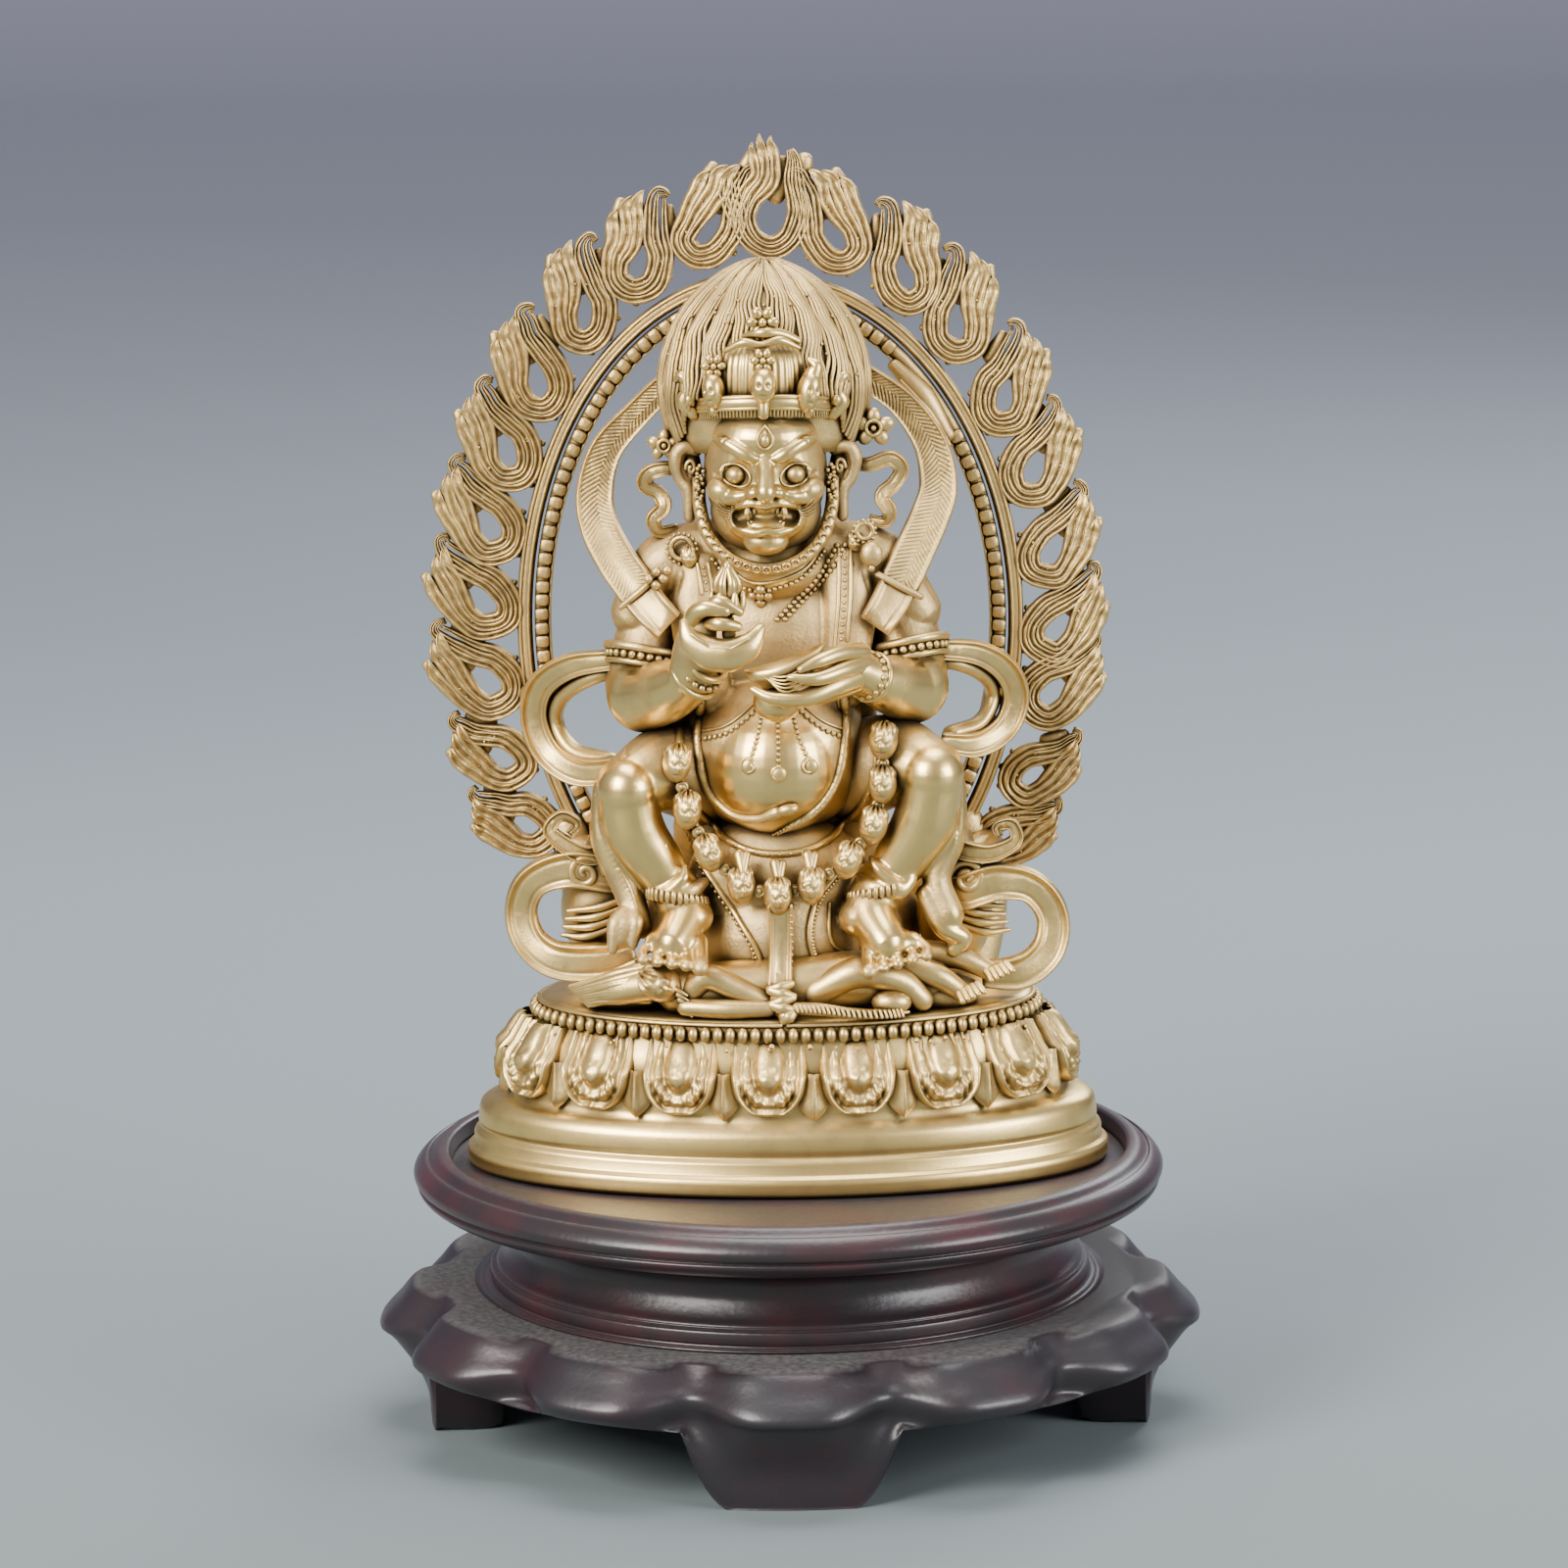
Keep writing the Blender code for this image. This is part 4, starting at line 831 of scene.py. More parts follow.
@dataclass
class Body:
    """Squatting trunk, legs, feet, arms and hands, melted into two skins."""

    voxel: float = 0.36

    def trunk(self, clay: Clay) -> None:
        """Adds belly, chest, shoulders, shawl panels and seat."""
        clay.ball((-1.2, -4.5, 71.5), (15.6, 14.8, 14.6), fine=40)
        clay.ball((-1.4, -8.6, 70.2), (12.2, 12.6, 12.4), fine=40)
        clay.ball((-1.4, -1.0, 90.0), (17.0, 10.5, 15.0), fine=32)
        clay.ball((-1.6, 1.0, 101.0), (17.5, 7.6, 6.4), fine=32)
        clay.ball((-1.6, -5.6, 103.0), (9.6, 7.2, 6.6), fine=24)
        clay.ball((-1.0, 3.0, 56.0), (18.0, 12.0, 14.0), fine=32)
        clay.ball((-1.4, 0.6, 80.0), (17.4, 11.4, 31.0), fine=48)
        for side, edge in ((-1.0, -24.4), (1.0, 22.4)):
            clay.limb([(-1.4 + side * 7.6, -3.0, 106.0), (-1.6 + side * 17.4, -2.0, 103.0),
                (edge, -3.0, 95.0)], [5.0, 5.6, 4.4], sides=20)
            clay.limb([(-1.5 + side * 12.0, -6.4, 103.5), (-1.5 + side * 12.6, -8.6, 94.0),
                (-1.5 + side * 11.0, -10.0, 82.0)], [4.2, 4.6, 4.0], flat=0.7, sides=16)

    def arms(self, clay: Clay) -> None:
        """Adds upper arms, elbows, forearms, palms and fingers."""
        clay.limb([(-17.0, 0.5, 100.5), (-22.2, -2.0, 91.0), (-24.0, -5.0, 82.4)], [5.6, 5.6, 6.0], sides=24)
        clay.ball((-23.4, -6.4, 81.6), (6.3, 6.6, 6.6), fine=28)
        clay.limb([(-23.2, -7.0, 81.2), (-18.4, -15.6, 84.0), (-14.6, -21.0, 87.2)], [6.1, 5.0, 3.9],
            sides=24)
        clay.limb([(-15.2, -20.8, 87.0), (-14.4, -24.0, 92.6), (-13.6, -25.0, 95.6)], [3.9, 3.6, 3.0],
            sides=20)
        clay.limb([(14.8, 0.5, 100.5), (20.2, -2.0, 92.0), (21.8, -5.0, 84.0)], [5.6, 5.6, 6.0], sides=24)
        clay.ball((21.6, -6.4, 82.6), (6.3, 6.6, 6.6), fine=28)
        clay.limb([(21.2, -7.0, 82.2), (16.8, -15.6, 84.6), (12.4, -20.4, 87.6)], [6.1, 4.6, 3.2], sides=24)

    def legs(self, clay: Clay) -> None:
        """Adds thighs, knees, shins, ankles and feet with toes."""
        clay.limb([(-10.0, 2.0, 65.0), (-19.0, -8.0, 69.0), (-26.0, -13.6, 67.4)], [9.2, 7.8, 5.4], sides=24)
        clay.ball((-26.2, -15.2, 67.0), (5.1, 5.2, 5.2), fine=28)
        clay.limb([(-26.2, -14.8, 66.4), (-25.0, -14.6, 60.0), (-21.6, -14.0, 54.2), (-18.6, -13.6, 49.0)],
            [5.0, 5.1, 4.6, 3.8], sides=24)
        clay.limb([(-18.4, -13.5, 49.5), (-17.0, -16.8, 45.4), (-18.8, -22.0, 42.2)], [4.1, 4.3, 3.2],
            sides=20)
        clay.ball((-15.8, -16.4, 45.4), (3.8, 4.4, 3.4), fine=20)
        clay.limb([(8.0, 2.0, 65.0), (18.0, -8.0, 70.0), (24.6, -13.8, 69.2)], [9.2, 7.8, 5.6], sides=24)
        clay.ball((24.8, -15.2, 68.8), (5.3, 5.2, 5.4), fine=28)
        clay.limb([(24.8, -14.8, 68.2), (23.6, -14.6, 61.6), (20.2, -14.0, 55.6), (16.6, -13.6, 50.0)],
            [5.2, 5.4, 4.7, 3.9], sides=24)
        clay.limb([(16.0, -13.5, 50.2), (14.4, -16.8, 45.8), (16.8, -22.0, 41.8)], [4.2, 4.5, 3.4], sides=20)
        clay.ball((12.8, -16.4, 45.0), (4.0, 4.6, 3.5), fine=20)
        clay.ball((-18.7, -20.4, 42.0), (5.0, 3.8, 2.5), fine=24)
        clay.ball((17.4, -20.4, 41.4), (5.2, 3.8, 2.5), fine=24)
        for k in range(5):
            big = 1.45 if k == 4 else 1.02
            end = (-23.8 + 2.4 * k, -25.2 - 0.5 * k, 40.0 - 0.28 * k)
            clay.limb([(-22.0 + 1.9 * k, -20.6, 42.0), (end[0], end[1] + 1.8, end[2] + 0.9), end],
                [big, big * 0.86, big], sides=14)
            big = 1.45 if k == 0 else 1.02
            end = (13.8 + 2.4 * k, -26.4 + 0.4 * k, 37.8 + 0.55 * k)
            clay.limb([(14.0 + 1.8 * k, -20.6, 41.2 + 0.3 * k), (end[0], end[1] + 1.8, end[2] + 0.9), end],
                [big, big * 0.86, big], sides=14)
        clay.ball((-0.5, 4.0, 40.0), (24.0, 12.0, 13.0), fine=32)
        clay.ball((-0.8, 3.4, 47.0), (19.4, 12.0, 21.0), fine=48)
        clay.ball((-1.0, -8.0, 50.0), (15.6, 8.6, 11.6), fine=28)
        clay.ball((-0.8, -9.0, 40.0), (13.4, 9.4, 12.0), fine=28)

    def knots(self, clay: Clay) -> None:
        """Adds the robe folds beside the shins and the cloth knots above the anklets."""
        clay.limb([(-29.8, -10.0, 66.0), (-30.0, -12.6, 58.0), (-26.6, -13.4, 50.0), (-24.4, -15.4, 43.6)],
            [2.4, 2.6, 2.6, 2.2], flat=1.1, sides=14)
        for k, (x, z) in enumerate(((-27.6, 43.2), (-25.6, 42.4), (-29.0, 41.6))):
            clay.limb([(-26.6 + 0.4 * k, -15.0, 47.0), (x + 0.6, -17.4, 44.6), (x, -18.2, z - 1.4)],
                [1.2, 1.5, 0.9], sides=12)
        clay.limb([(28.4, -9.8, 66.0), (28.0, -12.4, 58.0), (25.4, -13.0, 51.0), (27.6, -14.6, 44.8)],
            [2.2, 2.5, 2.5, 2.4], flat=1.1, sides=14)
        clay.limb([(23.4, -14.4, 48.4), (26.4, -15.4, 43.0), (29.6, -14.6, 40.8), (28.0, -15.0, 38.8)],
            [1.6, 1.9, 1.8, 1.2], sides=14)
        clay.limb([(-22.6, -15.6, 50.6), (-19.6, -18.0, 49.4), (-15.8, -17.4, 50.0), (-13.4, -15.8, 51.2)],
            [1.2, 1.7, 1.6, 0.9], flat=0.8, sides=14)
        clay.limb([(-19.4, -18.0, 50.0), (-17.0, -17.8, 52.2), (-16.6, -17.0, 54.2)], [1.3, 1.0, 0.5],
            sides=12)
        clay.limb([(12.2, -15.8, 51.8), (15.0, -17.8, 50.2), (18.8, -18.2, 49.8), (21.0, -17.0, 51.6)],
            [0.9, 1.5, 1.7, 1.3], flat=0.8, sides=14)
        clay.limb([(18.6, -18.2, 50.6), (15.4, -17.8, 53.6), (14.4, -16.8, 55.2)], [1.3, 0.9, 0.5], sides=12)

    def build(self) -> list[Thing]:
        """Builds the two melted skins.

        Returns:
            Torso with arms, and legs.
        """
        clay = Clay()
        self.trunk(clay)
        self.arms(clay)
        torso = fuse(clay.build("figure_torso"), self.voxel, 3)
        relief = Relief(torso)
        for side in (-1.0, 1.0):
            for k in range(3):
                start = -1.5 + side * (13.5 + 1.8 * k)
                relief.stroke([(start, -9.0, 103.5 - k), (start + side * 0.6, -9.0, 96.0),
                    (start - side * 0.8, -9.5, 90.0)], 0.42, -0.40)
        relief.stroke([(-1.4, -22.4, 66.0)], 1.1, -0.8)
        for k in range(-3, 4):
            relief.fold_behind([(-1.5 + 3.4 * k, 103.0), (-1.5 + 4.2 * k, 90.0), (-1.5 + 4.5 * k, 76.0),
                (-1.5 + 4.0 * k, 62.0)], 0.8, -0.75)
        for k in range(3):
            relief.fold_behind([(-15.0, 70.0 - 2.2 * k), (-1.4, 66.0 - 2.2 * k), (12.4, 70.0 - 2.2 * k)], 0.7,
                0.6)
        relief.save()
        polish_spots(torso, [((-1.4, -21.0, 69.0), 15.0), ((-23.0, -9.0, 80.5), 10.0),
            ((21.0, -9.0, 81.5), 11.0), ((-16.0, -20.0, 86.0), 9.0), ((13.0, -20.0, 86.0), 9.0),
            ((-1.6, -11.0, 103.4), 6.0)])
        clay = Clay()
        self.legs(clay)
        self.knots(clay)
        legs = fuse(clay.build("figure_legs"), self.voxel, 3)
        relief = Relief(legs)
        for k in range(5):
            relief.stroke([(-23.8 + 2.4 * k, -26.1 - 0.5 * k, 40.8 - 0.28 * k)], 0.55, -0.16)
            relief.stroke([(13.8 + 2.4 * k, -27.3 + 0.4 * k, 38.6 + 0.55 * k)], 0.55, -0.16)
        for k in range(12):
            turn = math.radians(-8.0 - 15.0 * k)
            x, z = -26.2 + 5.4 * math.sin(turn + 0.9), 67.2 + 5.4 * math.cos(turn + 0.9)
            relief.stroke([(x, -15.0, z), (x + 0.9 * math.sin(turn + 0.9), -12.0, z + 1.3)], 0.25, -0.28)
        relief.stroke([(-31.0, -14.0, 64.0), (-29.4, -15.6, 57.0), (-26.0, -16.2, 50.0),
            (-24.6, -17.4, 44.4)], 0.4, 0.35)
        relief.stroke([(29.6, -14.0, 64.0), (28.6, -15.4, 57.0), (26.0, -16.0, 51.0)], 0.4, 0.35)
        for k in range(-3, 4):
            relief.fold_behind([(-1.0 + 3.6 * k, 62.0), (-1.0 + 4.6 * k, 48.0), (-1.0 + 5.6 * k, 33.0)], 0.9,
                -0.8)
        relief.save()
        polish_spots(legs, [((-26.4, -17.0, 63.0), 12.0), ((-21.0, -16.0, 53.0), 8.0),
            ((24.8, -17.0, 64.0), 12.0), ((18.5, -16.0, 53.0), 8.0), ((-18.0, -21.0, 43.0), 8.5),
            ((16.0, -21.0, 42.0), 8.5), ((28.0, -15.0, 42.0), 5.0)])
        return [torso, legs]


class Hands:
    """Fingers, chopper and skull cup before the chest."""

    def build(self) -> Thing:
        """Builds both hands with what they hold."""
        clay = Clay()
        clay.limb([(-13.4, -24.6, 94.0), (-14.6, -26.6, 97.8), (-12.8, -28.2, 99.6), (-9.4, -28.6, 99.2)],
            [1.9, 1.6, 1.4, 1.0], sides=16)
        clay.limb([(-12.6, -25.6, 98.4), (-10.4, -28.0, 100.8), (-7.0, -28.2, 99.0)], [1.2, 1.2, 0.8],
            sides=14)
        clay.limb([(-13.0, -25.0, 96.4), (-10.4, -28.6, 97.2), (-7.4, -28.4, 96.6)], [1.4, 1.3, 0.9],
            sides=14)
        blade = [(-16.2, -27.0, 97.4), (-15.0, -27.6, 94.4), (-12.2, -28.2, 92.3), (-8.8, -28.6, 91.9),
            (-5.6, -28.2, 93.4), (-3.4, -27.4, 96.2)]
        clay.limb(blade, [0.8, 2.1, 2.8, 2.9, 2.3, 0.8], flat=0.62, sides=20)
        for a, b in zip(blade[1:-2], blade[2:-1]):
            clay.limb([(a[0], a[1] - 1.3, a[2] + 1.1), (b[0], b[1] - 1.4, b[2] + 1.3)], [0.28, 0.28], sides=8)
        clay.limb([(-8.8, -26.6, 95.0), (-8.8, -26.8, 97.4)], [1.2, 1.0])
        for turn in turns_round(6):
            clay.limb([(-9.0, -26.4, 98.8), (-9.0 + 2.1 * math.cos(turn), -26.4 + 1.6 * math.sin(turn), 99.6),
                (-9.0 + 2.5 * math.cos(turn), -26.4 + 1.9 * math.sin(turn), 101.8)], [0.9, 1.0, 0.5],
                sides=10)
            clay.limb([(-9.0 + 0.8 * math.cos(turn), -26.4 + 0.8 * math.sin(turn), 101.0),
                (-9.0 + 1.7 * math.cos(turn), -26.4 + 1.4 * math.sin(turn), 103.4),
                (-9.0 + 0.5 * math.cos(turn), -26.4 + 0.4 * math.sin(turn), 106.0)], [0.8, 0.8, 0.5],
                sides=10)
        clay.ball((-9.0, -26.4, 102.6), (1.4, 1.2, 2.8))
        clay.ring((-9.0, -26.4, 99.2), (0.0, 0.0, 1.0), 2.3, 0.42)
        clay.ball((-9.0, -26.4, 106.4), (0.7, 0.7, 0.8), fine=12)
        cup = []
        for wide, deep, drop in ((0.5, 0.3, 3.9), (3.4, 1.9, 3.4), (5.8, 3.0, 1.8), (6.8, 3.5, 0.0),
                (6.4, 3.2, -0.1), (5.0, 2.6, 1.0), (0.5, 0.3, 1.5)):
            row = []
            for turn in turns_round(40):
                x, y = wide * math.cos(turn), deep * math.sin(turn)
                row.append((0.4 + x, -25.2 + y, 90.0 - drop + 0.34 * x + 0.02 * x * x))
            cup.append(row)
        clay.skin(np.array(cup))
        for k in range(5):
            clay.limb([(-4.6 + 0.5 * k, -26.4 - 0.4 * k, 88.6 - 0.2 * k),
                (0.4, -28.8 - 0.1 * k, 88.2 - 0.62 * k), (5.0, -28.2, 90.6 - 0.8 * k)], [0.16, 0.2, 0.14],
                sides=8)
        clay.limb([(13.0, -20.6, 90.6), (9.6, -24.6, 91.2), (6.2, -27.6, 90.6), (3.0, -29.0, 89.4)],
            [1.8, 1.5, 1.3, 0.7], sides=16)
        clay.limb([(13.6, -20.4, 88.8), (10.0, -25.4, 88.6), (5.4, -28.8, 87.8), (1.2, -29.4, 88.2)],
            [1.9, 1.5, 1.2, 0.6], sides=16)
        clay.limb([(12.6, -20.6, 87.0), (8.4, -25.6, 86.0), (3.2, -28.4, 84.4), (-1.8, -28.8, 84.6),
            (-5.0, -28.0, 86.0)], [2.4, 1.9, 1.5, 1.1, 0.6], sides=16)
        clay.limb([(11.6, -20.8, 86.0), (6.0, -25.4, 84.6), (0.4, -27.0, 83.4)], [2.4, 1.8, 1.0], sides=16)
        clay.ball((-1.0, -22.6, 83.0), (4.0, 3.8, 3.6), fine=24)
        clay.ring((-12.8, -22.4, 89.6), (0.55, -0.45, 0.72), 3.9, 0.55)
        clay.ring((-14.6, -20.6, 87.4), (0.55, -0.55, 0.55), 4.3, 0.6)
        clay.ring((-13.7, -21.5, 88.4), (0.55, -0.5, 0.62), 4.1, 0.62, bead=1.4)
        clay.ring((14.8, -18.0, 86.0), (0.55, 0.62, -0.3), 3.9, 0.55)
        clay.ring((14.0, -18.9, 86.5), (0.55, 0.62, -0.3), 3.7, 0.6, bead=1.4)
        return clay.build("hands_and_attributes")


@dataclass
class Head:
    """Wrathful head: melted skin with pressed features, and its small trim."""

    centre_x: float = HEAD_X
    voxel: float = 0.23
    drop: float = 1.1
    eye_high: float = 120.9

    def clay_head(self) -> Clay:
        """Returns the forms of the skull, brows, cheeks, nose, lips and ears."""
        c = self.centre_x
        clay = Clay()
        clay.ball((c, -6.5, 120.6), (10.3, 11.0, 13.0), fine=48)
        clay.ball((c, -7.4, 113.8), (9.3, 9.4, 7.2), fine=40)
        clay.ball((c, -9.4, 126.6), (8.8, 8.3, 5.6), fine=40)
        clay.ball((c, -13.8, 113.6), (6.8, 3.9, 4.6), fine=32)
        clay.ball((c, -14.2, 109.6), (3.8, 3.0, 2.4), fine=24)
        clay.limb([(c, -15.4, 124.6), (c, -17.8, 121.6), (c, -19.4, 118.6)], [1.5, 1.35, 1.75], sides=20)
        for side in (-1.0, 1.0):
            clay.ball((c + side * 6.7, -13.3, 118.2), (3.2, 3.3, 2.4), fine=24)
            clay.limb([(c + side * 2.4, -17.4, 118.2), (c + side * 4.4, -16.6, 117.6),
                (c + side * 7.4, -14.6, 116.9)], [0.9, 1.5, 1.2], sides=14)
            clay.ball((c + side * 1.95, -17.8, 118.3), (1.5, 1.7, 1.2), fine=20)
            clay.limb([(c + side * 0.9, -16.9, 123.2), (c + side * 3.4, -16.9, 124.6),
                (c + side * 6.2, -15.6, 126.2), (c + side * 8.3, -13.2, 126.8)], [0.9, 1.15, 1.1, 0.6],
                flat=0.9, sides=16)
            clay.limb([(c + side * 5.5, -15.2, 113.9), (c + side * 4.0, -16.9, 115.8),
                (c + side * 1.7, -17.9, 116.5), (c, -18.1, 115.9)], [0.5, 0.75, 0.85, 0.8], sides=14)
            clay.limb([(c + side * 5.5, -15.0, 113.6), (c + side * 4.2, -16.5, 112.2),
                (c + side * 1.8, -17.5, 111.5), (c, -17.7, 111.9)], [0.5, 0.75, 0.85, 0.7], sides=14)
            clay.limb([(c + side * 11.6, -6.6, 123.8), (c + side * 13.6, -7.0, 124.4),
                (c + side * 14.8, -6.8, 122.6), (c + side * 14.2, -6.6, 119.4),
                (c + side * 12.8, -7.0, 117.0), (c + side * 12.8, -7.0, 112.6)],
                [1.1, 1.3, 1.4, 1.3, 1.2, 1.0], sides=14)
            clay.ball((c + side * 12.4, -4.6, 119.6), (1.8, 2.6, 5.0), fine=20)
        clay.ball((c, -4.6, 107.0), (7.8, 6.4, 5.6), fine=28)
        clay.ball((c, -5.0, 131.6), (11.3, 10.8, 3.2), fine=36)
        return clay

    def build(self) -> list[Thing]:
        """Builds the melted head and its trim.

        Returns:
            Head skin and face trim.
        """
        c = self.centre_x
        head = fuse(self.clay_head().build("figure_head"), self.voxel, 3)
        relief = Relief(head)
        for side in (-1.0, 1.0):
            relief.stroke([(c + side * 4.9, -17.0, self.eye_high)], 2.35, 1.5, (0.0, 1.0, 0.0), sharp=4.0)
            relief.stroke([(c + side * 1.5, -18.6, 117.2)], 0.6, 0.8, (0.0, 0.8, 0.6))
            relief.stroke([(c + side * 1.2, -17.8, 123.4), (c + side * 2.4, -17.8, 122.6)], 0.35, 0.35,
                (0.0, 1.0, 0.0))
            relief.stroke([(c + side * 3.0, -17.6, 119.4), (c + side * 5.6, -16.4, 119.7),
                (c + side * 8.6, -12.8, 120.8)], 0.55, -0.4)
            for x, z in ((2.7, 124.4), (4.6, 125.6), (6.5, 126.6)):
                for k in range(6):
                    turn = 0.9 * k
                    spot = (c + side * (x + 0.42 * math.cos(turn)), -16.9 + 0.16 * x,
                        z + 0.42 * math.sin(turn))
                    relief.stroke([spot], 0.24, -0.22)
            relief.stroke([(c + side * 13.2, -8.0, 122.8), (c + side * 13.6, -8.0, 121.0),
                (c + side * 12.9, -8.0, 119.4), (c + side * 12.6, -8.0, 121.4)], 0.42, -0.7)
        relief.stroke([(c - 4.6, -17.0, 113.9), (c - 2.4, -18.4, 114.4), (c, -18.8, 114.2),
            (c + 2.4, -18.4, 114.4), (c + 4.6, -17.0, 113.9)], 1.35, 2.3, (0.0, 1.0, 0.0), sharp=4.0)
        for k in range(-4, 5):
            relief.stroke([(c + 0.42 * k, -18.4, 111.0), (c + 0.22 * k, -18.0, 109.2 + 0.12 * abs(k))], 0.17,
                -0.26)
        relief.save()
        polish_spots(head, [((c, -17.0, 125.0), 10.5), ((c, -17.0, 116.0), 10.5)])
        trim = Clay()
        drape = Drape([head])
        for side in (-1.0, 1.0):
            trim.ball((c + side * 4.9, -15.0, self.eye_high), (1.7, 1.6, 1.6), fine=24)
            rim = [(c + side * (4.9 + 2.45 * math.cos(t)), -15.0,
                self.eye_high + 1.85 * math.sin(t) + 0.4 * math.cos(t)) for t in np.linspace(0, 2 * math.pi,
                25)]
            rim = [(x, drape.at(x, z, 0.05)[1] if abs(x - c) < 7.2 else y, z) for x, y, z in rim]
            trim.limb(rim, [0.28, 0.42, 0.5, 0.42, 0.28, 0.2, 0.16, 0.2, 0.28], steps=1, sides=8)
            for k in range(6):
                lean = (k - 2.5) / 2.5
                start = (c + side * (5.9 + 0.2 * abs(lean)), 114.7 + 0.55 * (k - 2.5) * 0.72)
                end = (c + side * (8.3 - 0.35 * abs(lean)), 115.5 + 1.0 * (k - 2.5) * 0.62)
                middle = ((start[0] + end[0]) / 2, (start[1] + end[1]) / 2 - 0.22)
                trim.limb(drape.line([start, middle, end], 0.1, 3), [0.14, 0.24, 0.1], steps=2, sides=8)
        drop = [(0.0, 2.2), (0.75, 1.3), (1.25, 0.1), (1.05, -1.1), (0.0, -1.75), (-1.05, -1.1), (-1.25, 0.1),
            (-0.75, 1.3), (0.0, 2.2)]
        trim.limb(drape.line([(c + x * 1.05, 127.2 + z) for x, z in drop], 0.05, 4), 0.26, steps=1, sides=8)
        trim.ball(drape.at(c, 126.9, -0.1), (0.8, 0.7, 1.1), fine=18)
        trim.ball(drape.at(c, 128.0, 0.1), (0.34, 0.4, 0.8), fine=12)
        for k in range(8):
            x = (k - 3.5) * 0.78
            trim.ball((c + x, -16.6, 115.3 - 0.05 * x * x), (0.40, 0.5, 0.62), fine=12)
            trim.ball((c + x * 0.88, -16.4, 112.9 + 0.03 * x * x), (0.36, 0.5, 0.52), fine=12)
        for side in (-1.0, 1.0):
            trim.limb([(c + side * 3.0, -17.0, 115.6), (c + side * 3.2, -17.3, 114.6),
                (c + side * 2.9, -17.2, 113.8)], [0.5, 0.42, 0.14], sides=10)
            trim.limb([(c + side * 2.6, -16.8, 112.2), (c + side * 3.0, -17.2, 113.2)], [0.42, 0.14],
                sides=10)
            spiral = [(c + side * (12.4 + 0.9 * math.cos(t) * (1 - t / 9)), -7.7,
                121.0 + 1.5 * math.sin(t) * (1 - t / 9)) for t in np.linspace(0.0, 7.5, 22)]
            trim.limb(spiral, 0.36, steps=1, sides=8)
            for k in range(14):
                trim.ball((c + side * (10.9 + 0.55 * math.sin(k * 2.4)), -9.6 + 0.2 * math.cos(k * 1.7),
                    121.6 - 0.42 * k), 0.42, fine=8)
        fringe = [(-11.2, -8.0, 119.0), (-11.0, -9.4, 114.6), (-9.5, -11.4, 109.9), (-5.8, -13.6, 106.3),
            (0.0, -14.8, 104.8), (5.8, -13.6, 106.3), (9.5, -11.4, 109.9), (11.0, -9.4, 114.6),
            (11.2, -8.0, 119.0)]
        path, _ = smooth_path([(c + x, y, z) for x, y, z in fringe], 30)
        walked = walk(path)
        trim.limb([tuple(p + np.array((0.0, 0.8, 0.0))) for p in path[::6]], 1.15, flat=0.7, steps=1,
            sides=10)
        count = int(walked[-1] / 1.62)
        for k in range(count + 1):
            spot = [float(np.interp(walked[-1] * k / count, walked, path[:, j])) for j in range(3)]
            way = (0.35 * (spot[0] - c) / 11.0, -1.0, -0.35)
            trim.ring(tuple(spot), way, 0.60, 0.27)
            trim.ball((spot[0], spot[1] + 0.05, spot[2]), (0.26, 0.3, 0.26), fine=8)
        self.ears(trim)
        face = trim.build("face_trim")
        for thing in (head, face):
            thing.data.transform(Matrix.Translation((0.0, 0.0, -self.drop * SHARE)))
        return [head, face]

    def ears(self, trim: Clay) -> None:
        """Adds ear hoops, cup-shaped flowers and the hooked ribbon tails."""
        c = self.centre_x
        for side, x, z, size in ((-1.0, -16.6, 107.6, 2.6), (1.0, 13.9, 110.2, 1.9)):
            trim.ring((x, -8.4, z), (0.2 * side, -1.0, 0.0), size * 0.72, 0.5)
            trim.ring((x, -8.6, z), (0.2 * side, -1.0, 0.0), size, 0.34, bead=0.9)
        left = [(-15.4, 120.2), (-18.8, 120.6), (-21.9, 119.8), (-22.7, 117.6), (-20.4, 116.2),
            (-19.6, 114.0), (-21.4, 112.0), (-20.2, 109.8), (-17.4, 110.4)]
        right = [(11.4, 121.4), (14.6, 120.8), (18.4, 121.8), (20.2, 119.8), (19.0, 117.4), (16.9, 115.4),
            (18.2, 113.0), (17.4, 111.0), (14.8, 111.6)]
        for tail in (left, right):
            path, _ = smooth_path([(x, -4.0 - 0.7 * math.sin(1.3 * i), z) for i, (x, z) in enumerate(tail)],
                7)
            trim.band(list(path), [0.8, 1.25, 1.4, 1.4, 1.3, 1.4, 1.35, 1.1, 0.7], [1.3] * 9, rimmed,
                columns=21)
            trim.limb([(p[0], p[1] + 0.8, p[2]) for p in path[2:-4:4]], 1.1, steps=2, sides=10)
        for side, hub, size in ((-1.0, (-19.4, -5.2, 124.6), 1.0), (1.0, (15.6, -5.2, 127.2), 1.25)):
            trim.limb([(c + side * 11.5, -3.6, 124.6), (hub[0], hub[1] + 1.2, hub[2])], 1.4)
            for k in range(5):
                turn = 2 * math.pi * k / 5 + 0.3
                trim.ball((hub[0] + 1.7 * size * math.cos(turn), hub[1] - 0.3,
                    hub[2] + 1.5 * size * math.sin(turn)), (1.25 * size, 0.9, 1.0 * size),
                    (0.0, -math.degrees(turn), 0.0), fine=14)
            trim.ring((hub[0], hub[1] - 1.1, hub[2]), (0.0, -1.0, 0.0), 1.0 * size, 0.32)
            trim.ball((hub[0], hub[1] - 0.9, hub[2]), (0.55, 0.7, 0.55), fine=10)


